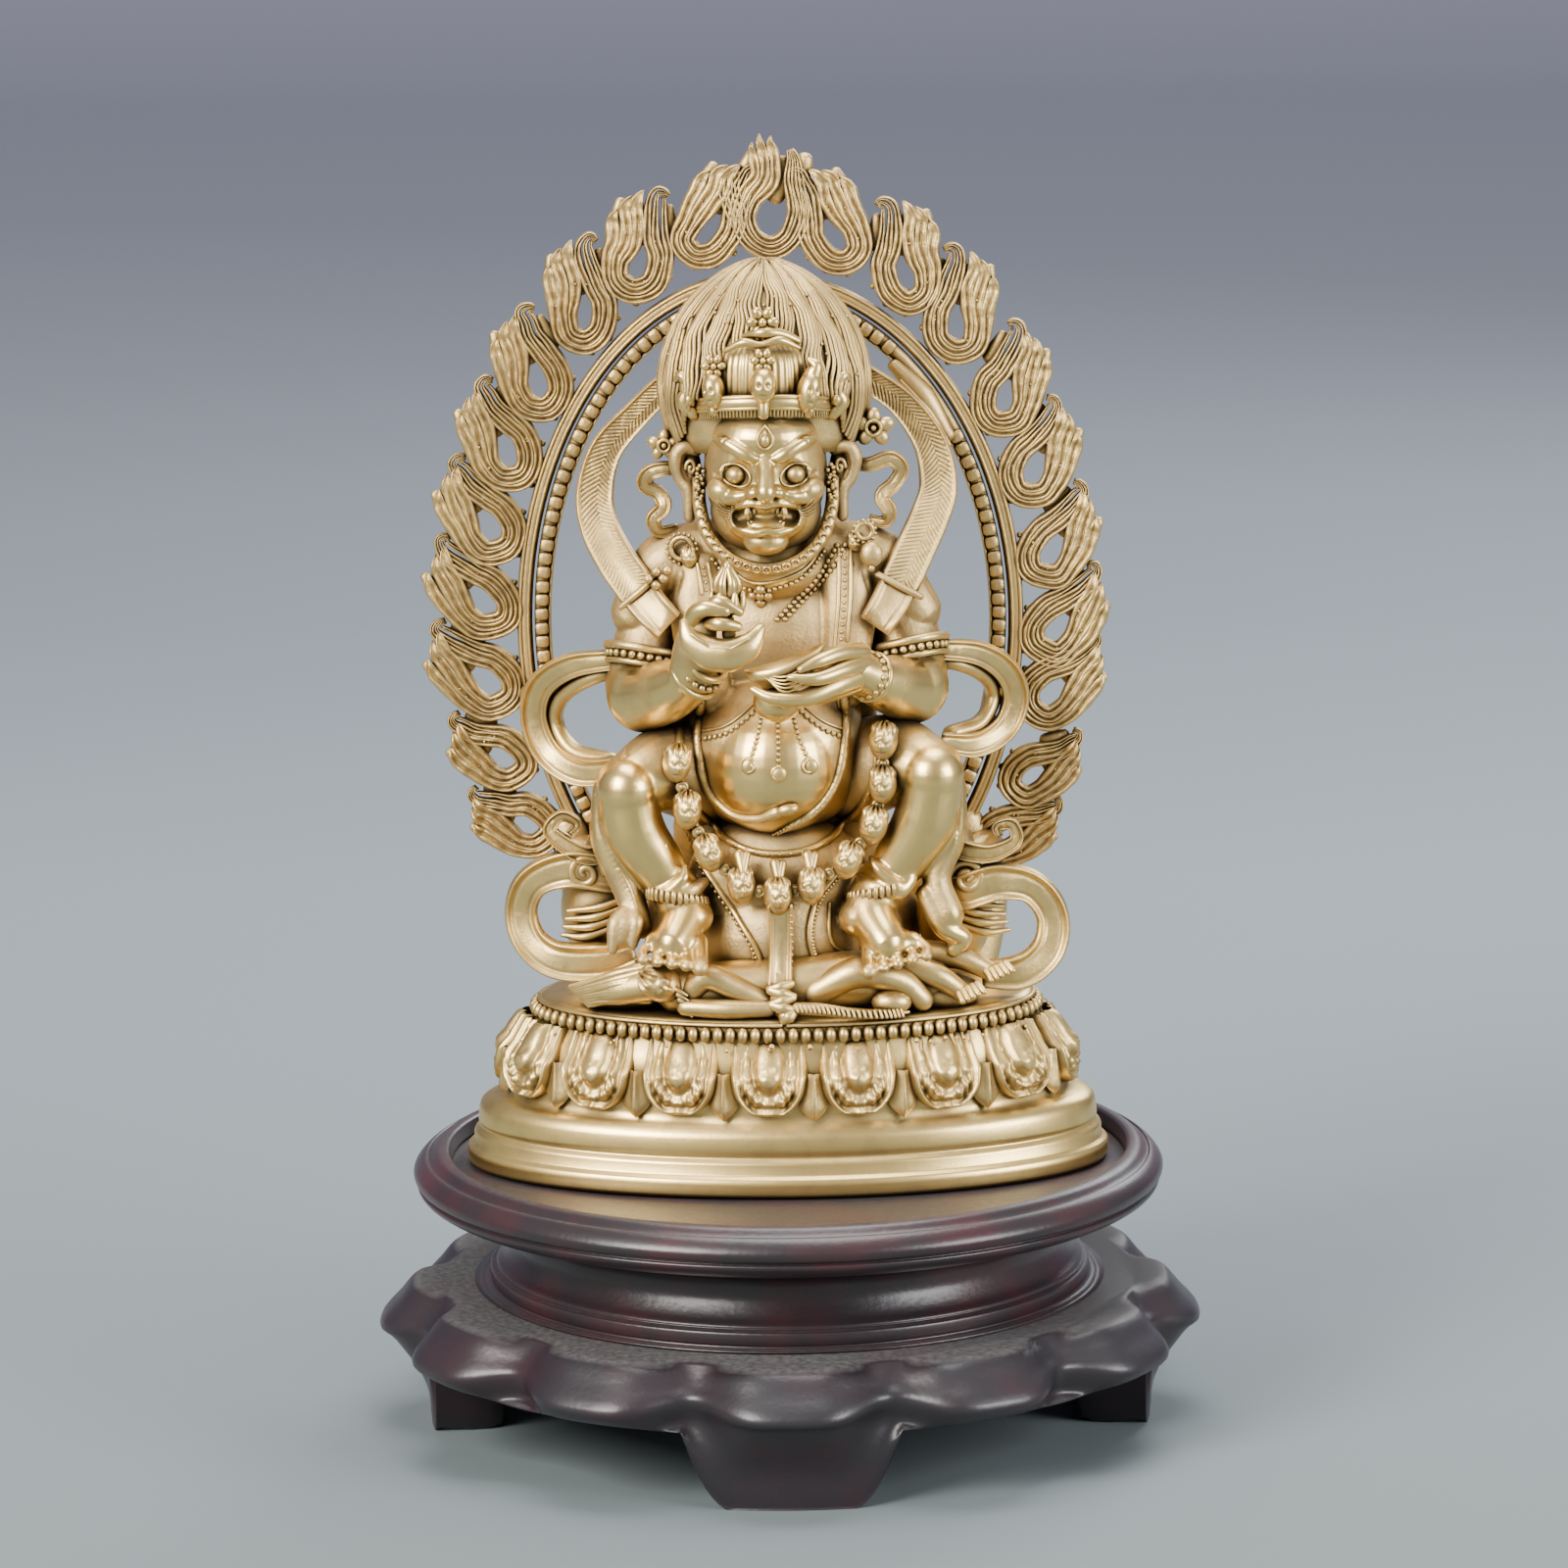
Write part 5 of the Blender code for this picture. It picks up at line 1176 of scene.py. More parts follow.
@dataclass
class Crown:
    """Upswept hair of combed strands, and the crown of skulls before it."""

    centre_x: float = HEAD_X
    strands: int = 133
    group: int = 7
    low: float = 133.0
    high: float = 154.2
    wide: float = 17.2
    deep: float = 10.6

    def spot(self, turn: float, height: float, lift: float) -> tuple[float, float, float]:
        """Returns a spot on the dome of the hair.

        Args:
            turn: angle round the head from the front, in radians.
            height: its height.
            lift: distance out of the dome.

        Returns:
            The spot.
        """
        share = min(max((height - self.low) / (self.high - self.low), 0.0), 1.0)
        grow = max(1.0 - share ** 2.1, 0.0) ** 0.62
        under = min(max((self.low - height) / 10.0, 0.0), 1.0)
        s, k = math.sin(turn), math.cos(turn)
        return (self.centre_x + (self.wide * grow - 2.2 * under ** 1.5 + lift) * s,
            -3.0 + 2.6 * share - (self.deep * grow ** 0.9 - 1.6 * under + lift) * k, height)

    def lock(self, turn: float, lift: float, wave: float) -> list[Spot]:
        """Returns one strand's line.

        Args:
            turn: angle round the head from the front, in radians.
            lift: how far it stands out of the mass.
            wave: phase of its waves.

        Returns:
            Points from the crown to the tip.
        """
        s, k = math.sin(turn), math.cos(turn)
        start = 132.5 - 8.4 * min(max((abs(s) - 0.62) / 0.3, 0.0), 1.0) if k > 0.0 else 122.0 + 2.0 * abs(s)
        spots = []
        for share in np.linspace(0.0, 1.0, 34):
            height = start + (self.high - start) * (1.0 - (1.0 - share) ** 1.35)
            sway = 0.034 * math.sin(share * 13.0 + wave) + 0.012 * math.sin(share * 31.0 + wave * 2.0)
            part = 0.10 * math.sin(math.pi * share) * math.tanh(turn * 4.0) * (1.0 if k > 0.0 else 0.0)
            spots.append(self.spot(turn + sway + part * math.exp(-(turn / 0.5) ** 2), height, lift))
        return spots

    def hair(self) -> Thing:
        """Builds the strands over their inner mass."""
        clay = Clay()
        rows = []
        for height in (122.5, 125.0, 128.0, 131.0, 134.0, 137.0, 140.0, 143.0, 146.0, 149.0, 151.0, 152.6,
                153.6):
            rows.append([self.spot(turn, height, -0.55) for turn in turns_round(60)])
        clay.skin(np.array(rows))
        rng = np.random.default_rng(3)
        for k in range(self.strands):
            turn = 2 * math.pi * (k + 0.5) / self.strands
            turn = turn - 2 * math.pi if turn > math.pi else turn
            within = (k % self.group) / (self.group - 1)
            phase = (k // self.group) * 1.9
            line = self.lock(turn, 0.75 * math.sin(math.pi * within) - 0.3, phase)
            cut = len(line) - 1 - int(rng.integers(0, 3))
            sizes = np.interp(np.linspace(0, 1, cut), [0.0, 0.3, 0.75, 1.0], [0.44, 0.44, 0.34, 0.14])
            clay.limb(line[:cut], list(sizes), flat=1.5, steps=1, sides=6)
        for k in range(46):
            turn = rng.uniform(-1.3, 1.3)
            line = self.lock(turn, 0.6, 0.0)
            clay.ball(line[int(rng.integers(8, 27))], (0.3, 0.42, 0.3), fine=6)
        return clay.build("hair")

    def band_at(self, turn: float, reach: float, height: float) -> Spot:
        """Returns a spot on the tilted crown band."""
        drop = 2.4 * (1.0 - math.cos(turn))
        return (self.centre_x + (11.7 + reach) * math.sin(turn), -5.6 - (11.2 + reach) * math.cos(turn),
            132.1 + height - drop)

    def flower(self, clay: Clay, spot: Spot, size: float) -> None:
        """Adds a small flower of round petals that faces the front."""
        for angle in turns_round(6):
            clay.ball((spot[0] + 1.35 * size * math.cos(angle), spot[1],
                spot[2] + 1.35 * size * math.sin(angle)), (0.95 * size, 0.6 * size, 0.68 * size),
                (0.0, -math.degrees(angle), 0.0), fine=12)
        clay.ball((spot[0], spot[1] - 0.35 * size, spot[2]), (0.62 * size, 0.7 * size, 0.62 * size), fine=12)

    def regalia(self) -> Thing:
        """Builds the crown band, skulls, flowers, drum and top knot."""
        clay = Clay()
        c = self.centre_x
        turns = np.linspace(-1.9, 1.9, 60)
        for reach, height, radius, flat in ((0.0, 0.0, 0.75, 1.5), (0.3, 0.95, 0.42, 1.0),
                (0.3, -0.9, 0.36, 1.0)):
            clay.limb([self.band_at(float(t), reach, height) for t in turns], radius, flat=flat, steps=1,
                sides=12, depth=(0.0, 0.0, 1.0))
        for t in np.linspace(-1.35, 1.35, 52):
            spot = self.band_at(float(t), 0.1, -1.7)
            clay.limb([(spot[0], spot[1], spot[2] + 0.45), (spot[0], spot[1] + 0.1, spot[2] - 0.45)], 0.22,
                sides=8)
        rows = []
        for height, grow in ((130.6, 1.0), (134.6, 1.01), (137.8, 0.99), (139.7, 0.92), (141.0, 0.76),
                (141.7, 0.5), (141.9, 0.1)):
            row = []
            for turn in turns_round(184):
                flute = 0.26 * abs(math.cos(turn * 23)) if height < 140.5 else 0.0
                row.append((c - 0.2 + (8.4 + flute) * grow * math.cos(turn),
                    -7.4 + (8.4 + flute) * grow * math.sin(turn), height))
            rows.append(row)
        clay.skin(np.array(rows))
        clay.limb([(c - 6.4, -14.4, 140.5), (c - 3.4, -15.3, 141.9), (c - 0.6, -15.6, 141.5),
            (c + 2.6, -15.2, 142.2), (c + 5.8, -14.2, 140.8)], [0.4, 0.8, 0.65, 0.8, 0.35], sides=12)
        for x, z, wide, tall, lean, spin in ((-2.7, 135.1, 2.4, 3.0, 0.0, 0.0),
                (-10.9, 133.7, 2.0, 3.0, -8.0, -30.0), (4.8, 133.6, 2.1, 3.5, 14.0, 24.0)):
            turn = math.asin(max(min((x - c) / 11.4, 1.0), -1.0))
            spot = (x, -6.0 - 12.0 * math.cos(turn), z)
            clay.mask(spot, (wide, wide * 1.05, tall), (0.0, lean, spin), bare=True)
            clay.limb([(x, spot[1] + 0.6, z - tall), (x, spot[1] + 0.4, 130.4)], 1.0, sides=10)
            if lean < 10.0:
                self.flower(clay, (x, spot[1] + 0.4, z + tall + 1.1), 0.95)
            else:
                clay.limb([(x + 0.5, spot[1] + 0.6, z + 2.0), (x + 1.2, spot[1] + 0.6, z + 4.2),
                    (x + 0.2, spot[1] + 0.6, z + 5.2)], [1.7, 1.2, 0.5], sides=12)
        for side, spot in ((-1.0, (-14.4, -9.6, 131.0)), (1.0, (8.8, -10.2, 130.8))):
            x, y, z = spot
            clay.limb([(x, y, z - 1.6), (x + side * 1.5, y + 0.4, z + 0.4), (x + side * 0.4, y, z + 2.6),
                (x + side * 1.8, y + 0.3, z + 4.6), (x + side * 2.8, y + 0.6, z + 4.0)],
                [1.1, 1.4, 1.1, 1.0, 0.5], sides=12)
            clay.ball((x + side * 0.6, y - 1.2, z + 0.8), (0.8, 0.6, 1.0), fine=12)
        self.flower(clay, (-2.7, -14.6, 145.2), 1.25)
        clay.limb([(-5.6, -13.6, 142.8), (-2.7, -15.0, 143.5), (0.4, -14.2, 143.1), (3.2, -13.2, 141.8)],
            [0.5, 1.0, 0.9, 0.6], sides=12)
        return clay.build("crown")


class Ribbons:
    """Scarf halo, the loops beside the arms and the scrolls beside the legs."""

    def halo(self) -> Thing:
        """Builds the herringbone scarf, its cross bars and the plain shawl ends below them."""
        clay = Clay()
        left = [(-13.0, 2.4, 136.4), (-18.2, 3.6, 132.9), (-23.9, 5.2, 127.4), (-29.3, 5.2, 121.2),
            (-31.3, 4.0, 114.0), (-30.4, 1.0, 108.6), (-27.8, -4.2, 104.2), (-23.9, -9.0, 99.4)]
        right = [(8.0, 2.4, 137.4), (14.3, 3.6, 133.3), (20.6, 5.2, 128.5), (25.2, 5.0, 121.8),
            (26.5, 2.6, 115.0), (25.0, -1.2, 110.4), (21.9, -6.0, 104.6), (19.5, -9.0, 100.1)]
        for side, knots in ((-1.0, left), (1.0, right)):
            path, _ = smooth_path(knots, 30)
            clay.band(list(path), [2.1, 2.3, 2.4, 2.8, 3.2, 3.35, 3.45, 3.5], [1.3] * 8, herringbone,
                columns=45)
            clay.limb([tuple(p + np.array((0.0, 0.5, 0.0))) for p in path[::6]],
                list(np.interp(np.linspace(0, 1, len(path[::6])), [0.0, 1.0], [1.7, 2.9])), flat=0.4, steps=1,
                sides=12)
            end, before = path[-1], path[-20]
            way = (end - before) / np.linalg.norm(end - before)
            across = np.cross(way, (0.0, 1.0, 0.0))
            across /= np.linalg.norm(across)
            clay.limb([tuple(end - across * 3.9 + np.array((0.0, -0.7, 0.0))),
                tuple(end + np.array((0.0, -1.2, 0.0))), tuple(end + across * 4.1
                + np.array((0.0, -1.0, 0.0)))], [0.55, 0.62, 0.6], sides=10)
            below, _ = smooth_path([tuple(end), tuple(end + way * 3.6 + np.array((0.0, 0.4, 0.0))),
                tuple(end + way * 8.4 + np.array((side * -0.6, 1.0, 0.0)))], 12)
            clay.band(list(below), [3.4, 3.2, 2.9], [1.15] * 3, rimmed, columns=31)
            if side < 0:
                for dx, dz in ((0.0, 0.0), (1.2, 1.1), (-1.2, 1.0), (0.1, 2.2), (1.9, 2.4)):
                    clay.ball((-21.0 + dx, -11.4, 100.9 + dz), 0.85, fine=14)
        clay.ball((15.0, -10.2, 105.4), (1.9, 1.2, 2.2), fine=20)
        clay.ball((15.0, -10.9, 103.2), 0.6, fine=10)
        return clay.build("scarf_halo")

    def loops(self) -> Thing:
        """Builds the loops beside the arms and the scrolls beside the legs."""
        clay = Clay()

        def strip(knots: list, half: list[float], thick: float = 1.5) -> None:
            """Adds a rimmed strip through knots."""
            path, _ = smooth_path(knots, 9)
            sizes = [thick * 0.6] + [thick] * max(len(half) - 2, 1) + [thick * 0.6]
            clay.band(list(path), half, sizes, rimmed, columns=27)
        strip([(-23.0, -6.5, 87.6), (-29.6, -4.4, 87.0), (-36.0, -1.0, 85.4), (-40.8, 2.4, 81.6),
            (-42.2, 4.0, 76.0), (-40.0, 3.0, 70.2), (-35.0, -0.6, 67.4), (-28.4, -4.6, 68.4),
            (-23.0, -8.0, 71.0)], [1.4, 1.8, 2.2, 2.4, 2.4, 2.6, 2.6, 2.4, 1.8], 1.7)
        clay.limb([(-24.6, -3.0, 85.4), (-31.4, -1.6, 84.0), (-37.2, 3.0, 79.8), (-38.6, 4.8, 74.8),
            (-35.6, 2.4, 70.4), (-29.4, -1.8, 69.4)], [1.3, 1.5, 1.5, 1.5, 1.5, 1.4], flat=1.5, sides=14)
        strip([(21.0, -6.5, 88.2), (27.4, -4.4, 88.2), (33.4, -1.0, 86.8), (37.8, 2.4, 83.2),
            (39.4, 4.0, 78.4), (37.6, 3.2, 73.6), (32.8, 0.0, 71.2), (26.4, -4.0, 72.4)],
            [1.4, 1.8, 2.1, 2.3, 2.3, 2.4, 2.3, 1.6], 1.7)
        clay.limb([(23.6, -3.0, 86.0), (29.4, -1.6, 85.4), (34.2, 3.0, 82.2), (35.6, 4.8, 78.4),
            (33.2, 2.4, 74.4), (28.4, -1.4, 73.4)], [1.2, 1.4, 1.4, 1.4, 1.4, 1.3], flat=1.5, sides=14)
        for line in (((-39.6, 5.0, 78.6), (-41.5, 11.0, 78.0), (-43.0, 16.0, 77.6)),
                ((37.4, 5.0, 79.6), (38.8, 11.0, 79.2), (39.4, 16.0, 78.8))):
            clay.limb(list(line), [1.9, 2.0, 2.2], sides=14)
        strip([(-23.6, -7.0, 50.4), (-30.0, -8.4, 51.6), (-37.0, -8.6, 52.2), (-42.6, -7.0, 49.6),
            (-44.6, -6.0, 44.6), (-43.2, -7.0, 39.6), (-38.8, -8.6, 36.6), (-31.4, -9.6, 36.4),
            (-25.4, -10.4, 38.2)], [3.2, 3.6, 3.4, 3.0, 2.8, 3.0, 3.4, 3.4, 2.2], 2.0)
        strip([(-27.6, -8.0, 56.6), (-32.4, -9.0, 54.6), (-36.2, -9.0, 56.0), (-39.4, -8.4, 58.8),
            (-37.4, -8.0, 61.2), (-34.8, -8.0, 59.8), (-36.2, -8.6, 58.2)],
            [1.2, 1.8, 1.7, 1.5, 1.2, 0.9, 0.6], 1.6)
        strip([(24.0, -7.0, 47.6), (29.6, -8.4, 47.6), (35.8, -8.6, 49.2), (41.6, -7.0, 47.8),
            (45.0, -6.0, 43.0), (44.4, -7.0, 37.4), (40.0, -8.6, 33.8), (33.0, -9.4, 33.4)],
            [2.8, 3.5, 3.4, 2.9, 2.8, 3.0, 3.1, 2.4], 2.0)
        strip([(25.6, -8.0, 56.2), (30.6, -9.0, 54.6), (34.8, -9.0, 54.2), (38.8, -8.4, 56.2),
            (38.2, -8.0, 59.0), (35.6, -8.0, 58.6), (36.2, -8.6, 57.0)], [1.2, 1.8, 1.7, 1.5, 1.2, 0.9, 0.6],
            1.6)
        for hub, side in (((-33.6, -9.4, 51.6), 1.0), ((30.6, -9.2, 50.0), -1.0)):
            coil = [(hub[0] + side * (3.1 - 0.30 * t) * math.cos(t * 1.15), hub[1] - 0.05 * t,
                hub[2] + (3.1 - 0.30 * t) * math.sin(t * 1.15)) for t in np.linspace(0.0, 9.0, 30)]
            clay.limb(coil, [0.75] * 20 + list(np.linspace(0.75, 0.5, 10)), steps=1, sides=10)
            clay.ball((hub[0], hub[1] + 1.4, hub[2]), (3.2, 1.6, 3.2), fine=24)
        clay.ball((-31.0, -2.0, 44.0), (7.0, 6.0, 10.0), fine=28)
        clay.ball((28.6, -2.0, 43.0), (6.4, 6.0, 10.0), fine=28)
        clay.ball((-29.0, -5.0, 55.0), (4.6, 4.4, 4.6), fine=24)
        clay.ball((27.6, -5.0, 55.0), 4.4, fine=24)
        for side in (-1.0, 1.0):
            clay.limb([(side * 30.0, 3.0, 50.0), (side * 33.0, 10.0, 50.0), (side * 34.5, 16.0, 50.0)], 3.4,
                sides=16)
            for k in range(4):
                shift = 1.7 * k
                clay.limb([(side * (26.0 + shift * 0.4), -8.0, 47.4 - shift),
                    (side * (31.0 + shift * 0.5), -8.8, 45.6 - shift),
                    (side * (36.6 + shift * 0.2), -8.0, 44.8 - shift * 0.8)], [0.5, 0.8, 0.4], sides=8)
        return clay.build("ribbons")


class Trim:
    """Bead strands, borders, cords, hems, garland heads and sash laid on the skins."""

    def jewels(self, drape: Drape) -> Thing:
        """Builds the strands, borders and cords of chest and belly.

        Args:
            drape: finds the skin below.

        Returns:
            The piece.
        """
        clay = Clay()
        clay.beads(drape.line([(-11.8, 105.0), (-8.4, 101.0), (-3.9, 99.4)], 0.1), 0.46, 0.95)
        clay.beads(drape.line([(7.4, 106.0), (3.0, 101.6), (-3.4, 99.4)], 0.1), 0.46, 0.95)
        clay.limb(drape.line([(-11.0, 106.4), (-7.6, 102.6), (-3.6, 101.0), (3.4, 103.0), (7.0, 106.8)],
            0.05), 0.32, steps=1, sides=8)
        for dx, dz in ((0.0, 1.2), (-1.25, 0.0), (1.25, 0.0), (0.0, -1.3), (0.0, 0.0)):
            spot = drape.at(-3.6 + dx, 98.8 + dz, 0.3)
            clay.ball(spot, (0.85, 0.8, 0.85), fine=14)
        for shift in (0.0, 1.3):
            clay.beads(drape.line([(9.6 + shift, 107.0), (5.6 + shift, 101.0), (-1.2 + shift, 94.4)], 0.1,
                leap=3.0), 0.5, 1.0)
        for shift in (0.0, 2.0):
            clay.limb(drape.line([(9.6 + shift, 106.0), (9.4 + shift, 98.0), (8.6 + shift, 88.0),
                (9.4 + shift, 80.0)], 0.1, leap=3.0), 0.34, steps=1, sides=8)
        clay.beads(drape.line([(10.6, 106.0), (10.4, 98.0), (9.6, 88.0), (10.4, 80.0)], 0.0, leap=3.0), 0.34,
            1.2, fine=8)
        for shift in (0.0, 1.8):
            clay.limb(drape.line([(-12.2 - shift, 104.0), (-11.6 - shift, 98.0), (-12.6 - shift, 88.0),
                (-13.2 - shift, 80.0)], 0.1, leap=3.0), 0.34, steps=1, sides=8)
        clay.beads(drape.line([(-13.1, 104.0), (-12.5, 98.0), (-13.5, 90.0)], 0.0, leap=3.0), 0.32, 1.2,
            fine=8)
        for x, z in ((-15.4, 105.0), (12.4, 107.0)):
            spot = drape.at(x, z, 0.6)
            clay.mask(spot, (1.6, 1.2, 1.7))
        girdle = [(-13.4, 75.0), (-9.2, 76.6), (-5.4, 79.6), (-3.4, 81.6)]
        other = [(1.4, 81.8), (3.4, 79.6), (6.6, 77.0), (9.6, 75.4)]
        for line in (girdle, other):
            clay.beads(drape.line(line, 0.1), 0.52, 1.05)
            clay.limb(drape.line([(x, z + 1.25) for x, z in line], 0.05), 0.32, steps=1, sides=8)
        for start, end in (((-3.6, 79.6), (-5.7, 72.4)), ((-0.9, 79.8), (-0.9, 71.2)),
                ((1.6, 79.6), (4.3, 72.2))):
            clay.beads(drape.line([start, ((start[0] * 0.6 + end[0] * 0.4), (start[1] + end[1]) / 2), end],
                0.1), 0.44, 0.92)
            coil = [(end[0] + (1.35 - 0.15 * t) * math.cos(t + 1.5),
                end[1] - 0.9 + (1.35 - 0.15 * t) * math.sin(t + 1.5)) for t in np.linspace(0.0, 7.0, 16)]
            clay.limb([drape.at(x, z, 0.15) for x, z in coil], 0.30, steps=1, sides=8)
            clay.ball(drape.at(end[0], end[1] - 0.9, -0.1), (1.4, 0.6, 1.4), fine=20)
        snake = drape.line([(-13.7, 81.0), (-14.3, 74.0), (-12.9, 66.6), (-9.0, 62.6), (-4.6, 62.2),
            (-1.2, 63.6)], 0.35, 9)
        clay.limb(snake, list(np.interp(np.linspace(0, 1, len(snake)), [0, 0.8, 1], [0.75, 0.9, 1.1])),
            steps=1, sides=12)
        clay.ball(drape.at(0.6, 64.2, 0.8), (1.9, 1.1, 1.0), (0.0, -12.0, 0.0), fine=18)
        tail = drape.line([(10.2, 83.0), (10.4, 76.0), (9.0, 68.6), (5.6, 63.6), (0.6, 60.4), (-1.6, 58.8)],
            0.35, 9)
        clay.limb(tail, list(np.interp(np.linspace(0, 1, len(tail)), [0, 0.7, 1], [0.8, 0.8, 0.2])), steps=1,
            sides=12)
        for spots in (snake, tail):
            for k, spot in enumerate(spots):
                clay.ball((spot[0] + 0.3 * (-1) ** k, spot[1] - 0.62, spot[2]), 0.26, fine=6)
        rim = [(-17.4, 76.0), (-17.0, 68.0), (-13.4, 60.6), (-7.6, 56.8), (-0.6, 55.8), (6.6, 57.2),
            (12.2, 61.6), (15.2, 69.0), (15.4, 76.0)]
        clay.limb(drape.line(rim, 0.3), 0.62, steps=1, sides=10)
        clay.beads([(x, y - 0.6, z) for x, y, z in drape.line(rim, 0.3)], 0.30, 1.9, fine=8)
        for side, spot in ((-1.0, (-23.2, -5.0, 88.6)), (1.0, (21.2, -5.0, 89.4))):
            axis = (side * 0.20, -0.25, -1.0)
            clay.ring(spot, axis, 6.3, 0.75)
            clay.ring((spot[0], spot[1] - 0.4, spot[2] - 1.3), axis, 6.3, 0.72, bead=1.5)
            clay.ring((spot[0], spot[1] - 0.6, spot[2] - 2.5), axis, 6.3, 0.5)
        return clay.build("jewellery")

    def garland(self, drape: Drape) -> Thing:
        """Builds the hanging heads with their links.

        Args:
            drape: finds the skin below.

        Returns:
            The piece.
        """
        clay = Clay()
        spots = [(-17.8, 71.6, 8.0), (-16.2, 63.6, 4.0), (-12.6, 56.4, -14.0), (-7.3, 51.0, -4.0),
            (-1.2, 49.4, 0.0), (4.4, 51.0, 4.0), (10.4, 55.0, 16.0), (14.8, 60.8, 8.0), (16.4, 67.6, 0.0),
            (16.6, 75.0, 4.0)]
        previous = None
        for x, z, lean in spots:
            place = drape.at(x, z, 1.5)
            front = min(place[1], -17.4 - 3.4 * (1.0 - abs(x) / 18.0))
            clay.mask((x, front, z), (2.6, 2.6, 3.1), (0.0, lean, 10.0 if x < 0 else -10.0))
            if previous is not None:
                middle = ((x + previous[0]) / 2, (front + previous[1]) / 2 + 1.2, (z + previous[2]) / 2)
                clay.limb([previous, middle, (x, front, z)], 0.7, sides=10)
                clay.ring((middle[0], middle[1] - 0.9, middle[2]), (0.0, -1.0, 0.0), 0.75, 0.34)
                clay.ball(middle, (1.1, 1.4, 1.1), fine=12)
            previous = (x, front, z)
        for x, z in ((-7.0, 55.0), (-1.0, 53.4), (4.4, 54.8)):
            clay.limb([(x - 0.6, -19.0, z + 1.4), (x, -20.4, z - 1.4)], [1.0, 0.7], sides=10)
            clay.limb([(x + 0.6, -19.0, z + 1.4), (x, -20.4, z - 1.4)], [0.7, 0.7], sides=10)
        return clay.build("garland")

    def sash(self, drape: Drape) -> Thing:
        """Builds the sash with its folded end and the serrated skirt hems.

        Args:
            drape: finds the skin below.

        Returns:
            The piece.
        """
        clay = Clay()
        path, _ = smooth_path([(-0.9, -21.0, 48.4), (-0.8, -20.4, 44.0), (-0.9, -20.8, 39.0),
            (-1.1, -22.6, 34.6)], 10)
        clay.band(list(path), [2.3, 2.1, 2.0, 2.1], [1.3] * 4, rimmed, columns=27)
        clay.beads([(0.9, -21.9, 47.0), (1.0, -21.4, 42.0), (0.8, -22.0, 37.0)], 0.34, 1.1, fine=8)
        folds = [(0.9, 35.2), (-2.8, 34.2), (1.2, 33.0), (-2.6, 31.8), (1.4, 30.8), (-0.6, 29.0)]
        for k, (a, b) in enumerate(zip(folds, folds[1:])):
            clay.limb([(a[0], -23.4 - 0.35 * k, a[1]),
                ((a[0] + b[0]) / 2, -23.9 - 0.35 * k, (a[1] + b[1]) / 2), (b[0], -23.6 - 0.35 * k, b[1])],
                [0.75, 1.1, 0.8], flat=0.7, sides=12)
        clay.ball((-0.8, -23.4, 32.2), (2.0, 1.5, 3.0), fine=18)
        clay.ball((-0.2, -24.6, 30.0), (1.3, 1.1, 1.1), fine=14)
        hems = [([(-17.4, 60.0), (-14.0, 53.6), (-9.0, 46.4), (-5.0, 40.0), (-3.4, 34.8)], 0.55),
            ([(8.6, 52.0), (5.4, 48.0), (4.0, 43.0), (4.8, 38.6), (8.0, 35.6), (12.6, 33.2)], 0.55)]
        for knots, radius in hems:
            line = drape.line(knots, 0.2, 8)
            clay.limb(line, radius, steps=1, sides=10)
            for k, (a, b) in enumerate(zip(line, line[1:])):
                clay.ball(((a[0] + b[0]) / 2 + (0.5 if knots[0][0] > 0 else -0.5), a[1] - 0.3,
                    (a[2] + b[2]) / 2 - 0.3), 0.36, fine=8)
        tail = [(1.6, -24.4, 31.2), (6.0, -25.6, 31.2), (11.0, -25.2, 30.4), (16.4, -23.6, 29.9),
            (20.4, -21.8, 29.8)]
        clay.limb(tail, [1.1, 1.1, 1.0, 0.8, 0.3], flat=0.8, sides=14)
        path, _ = smooth_path(tail, 6)
        for k, spot in enumerate(path[:-2]):
            clay.limb([(spot[0], spot[1] - 0.8, spot[2] + 0.7),
                (spot[0] + 0.3, spot[1] - 1.1, spot[2] - 0.3)], [0.28, 0.3], sides=8)
        for knots in (((-12.0, 50.4), (-6.4, 42.0), (-5.0, 36.0)), ((7.4, 47.0), (7.6, 41.0), (11.0, 37.0))):
            clay.limb(drape.line(list(knots), 0.0), 0.4, steps=1, sides=8)
        for side, spot in ((-1.0, (-18.1, -15.0, 48.2)), (1.0, (15.6, -15.0, 48.8))):
            axis = (side * -0.18, 0.22, 1.0)
            clay.ring(spot, axis, 4.3, 0.9)
            for turn in turns_round(30):
                x, y = 5.0 * math.cos(turn), 5.0 * math.sin(turn)
                clay.ball((spot[0] + x, spot[1] + y, spot[2] + side * 0.18 * x - 0.22 * y), (0.5, 0.5, 1.25),
                    fine=10)
        return clay.build("sash_and_hems")


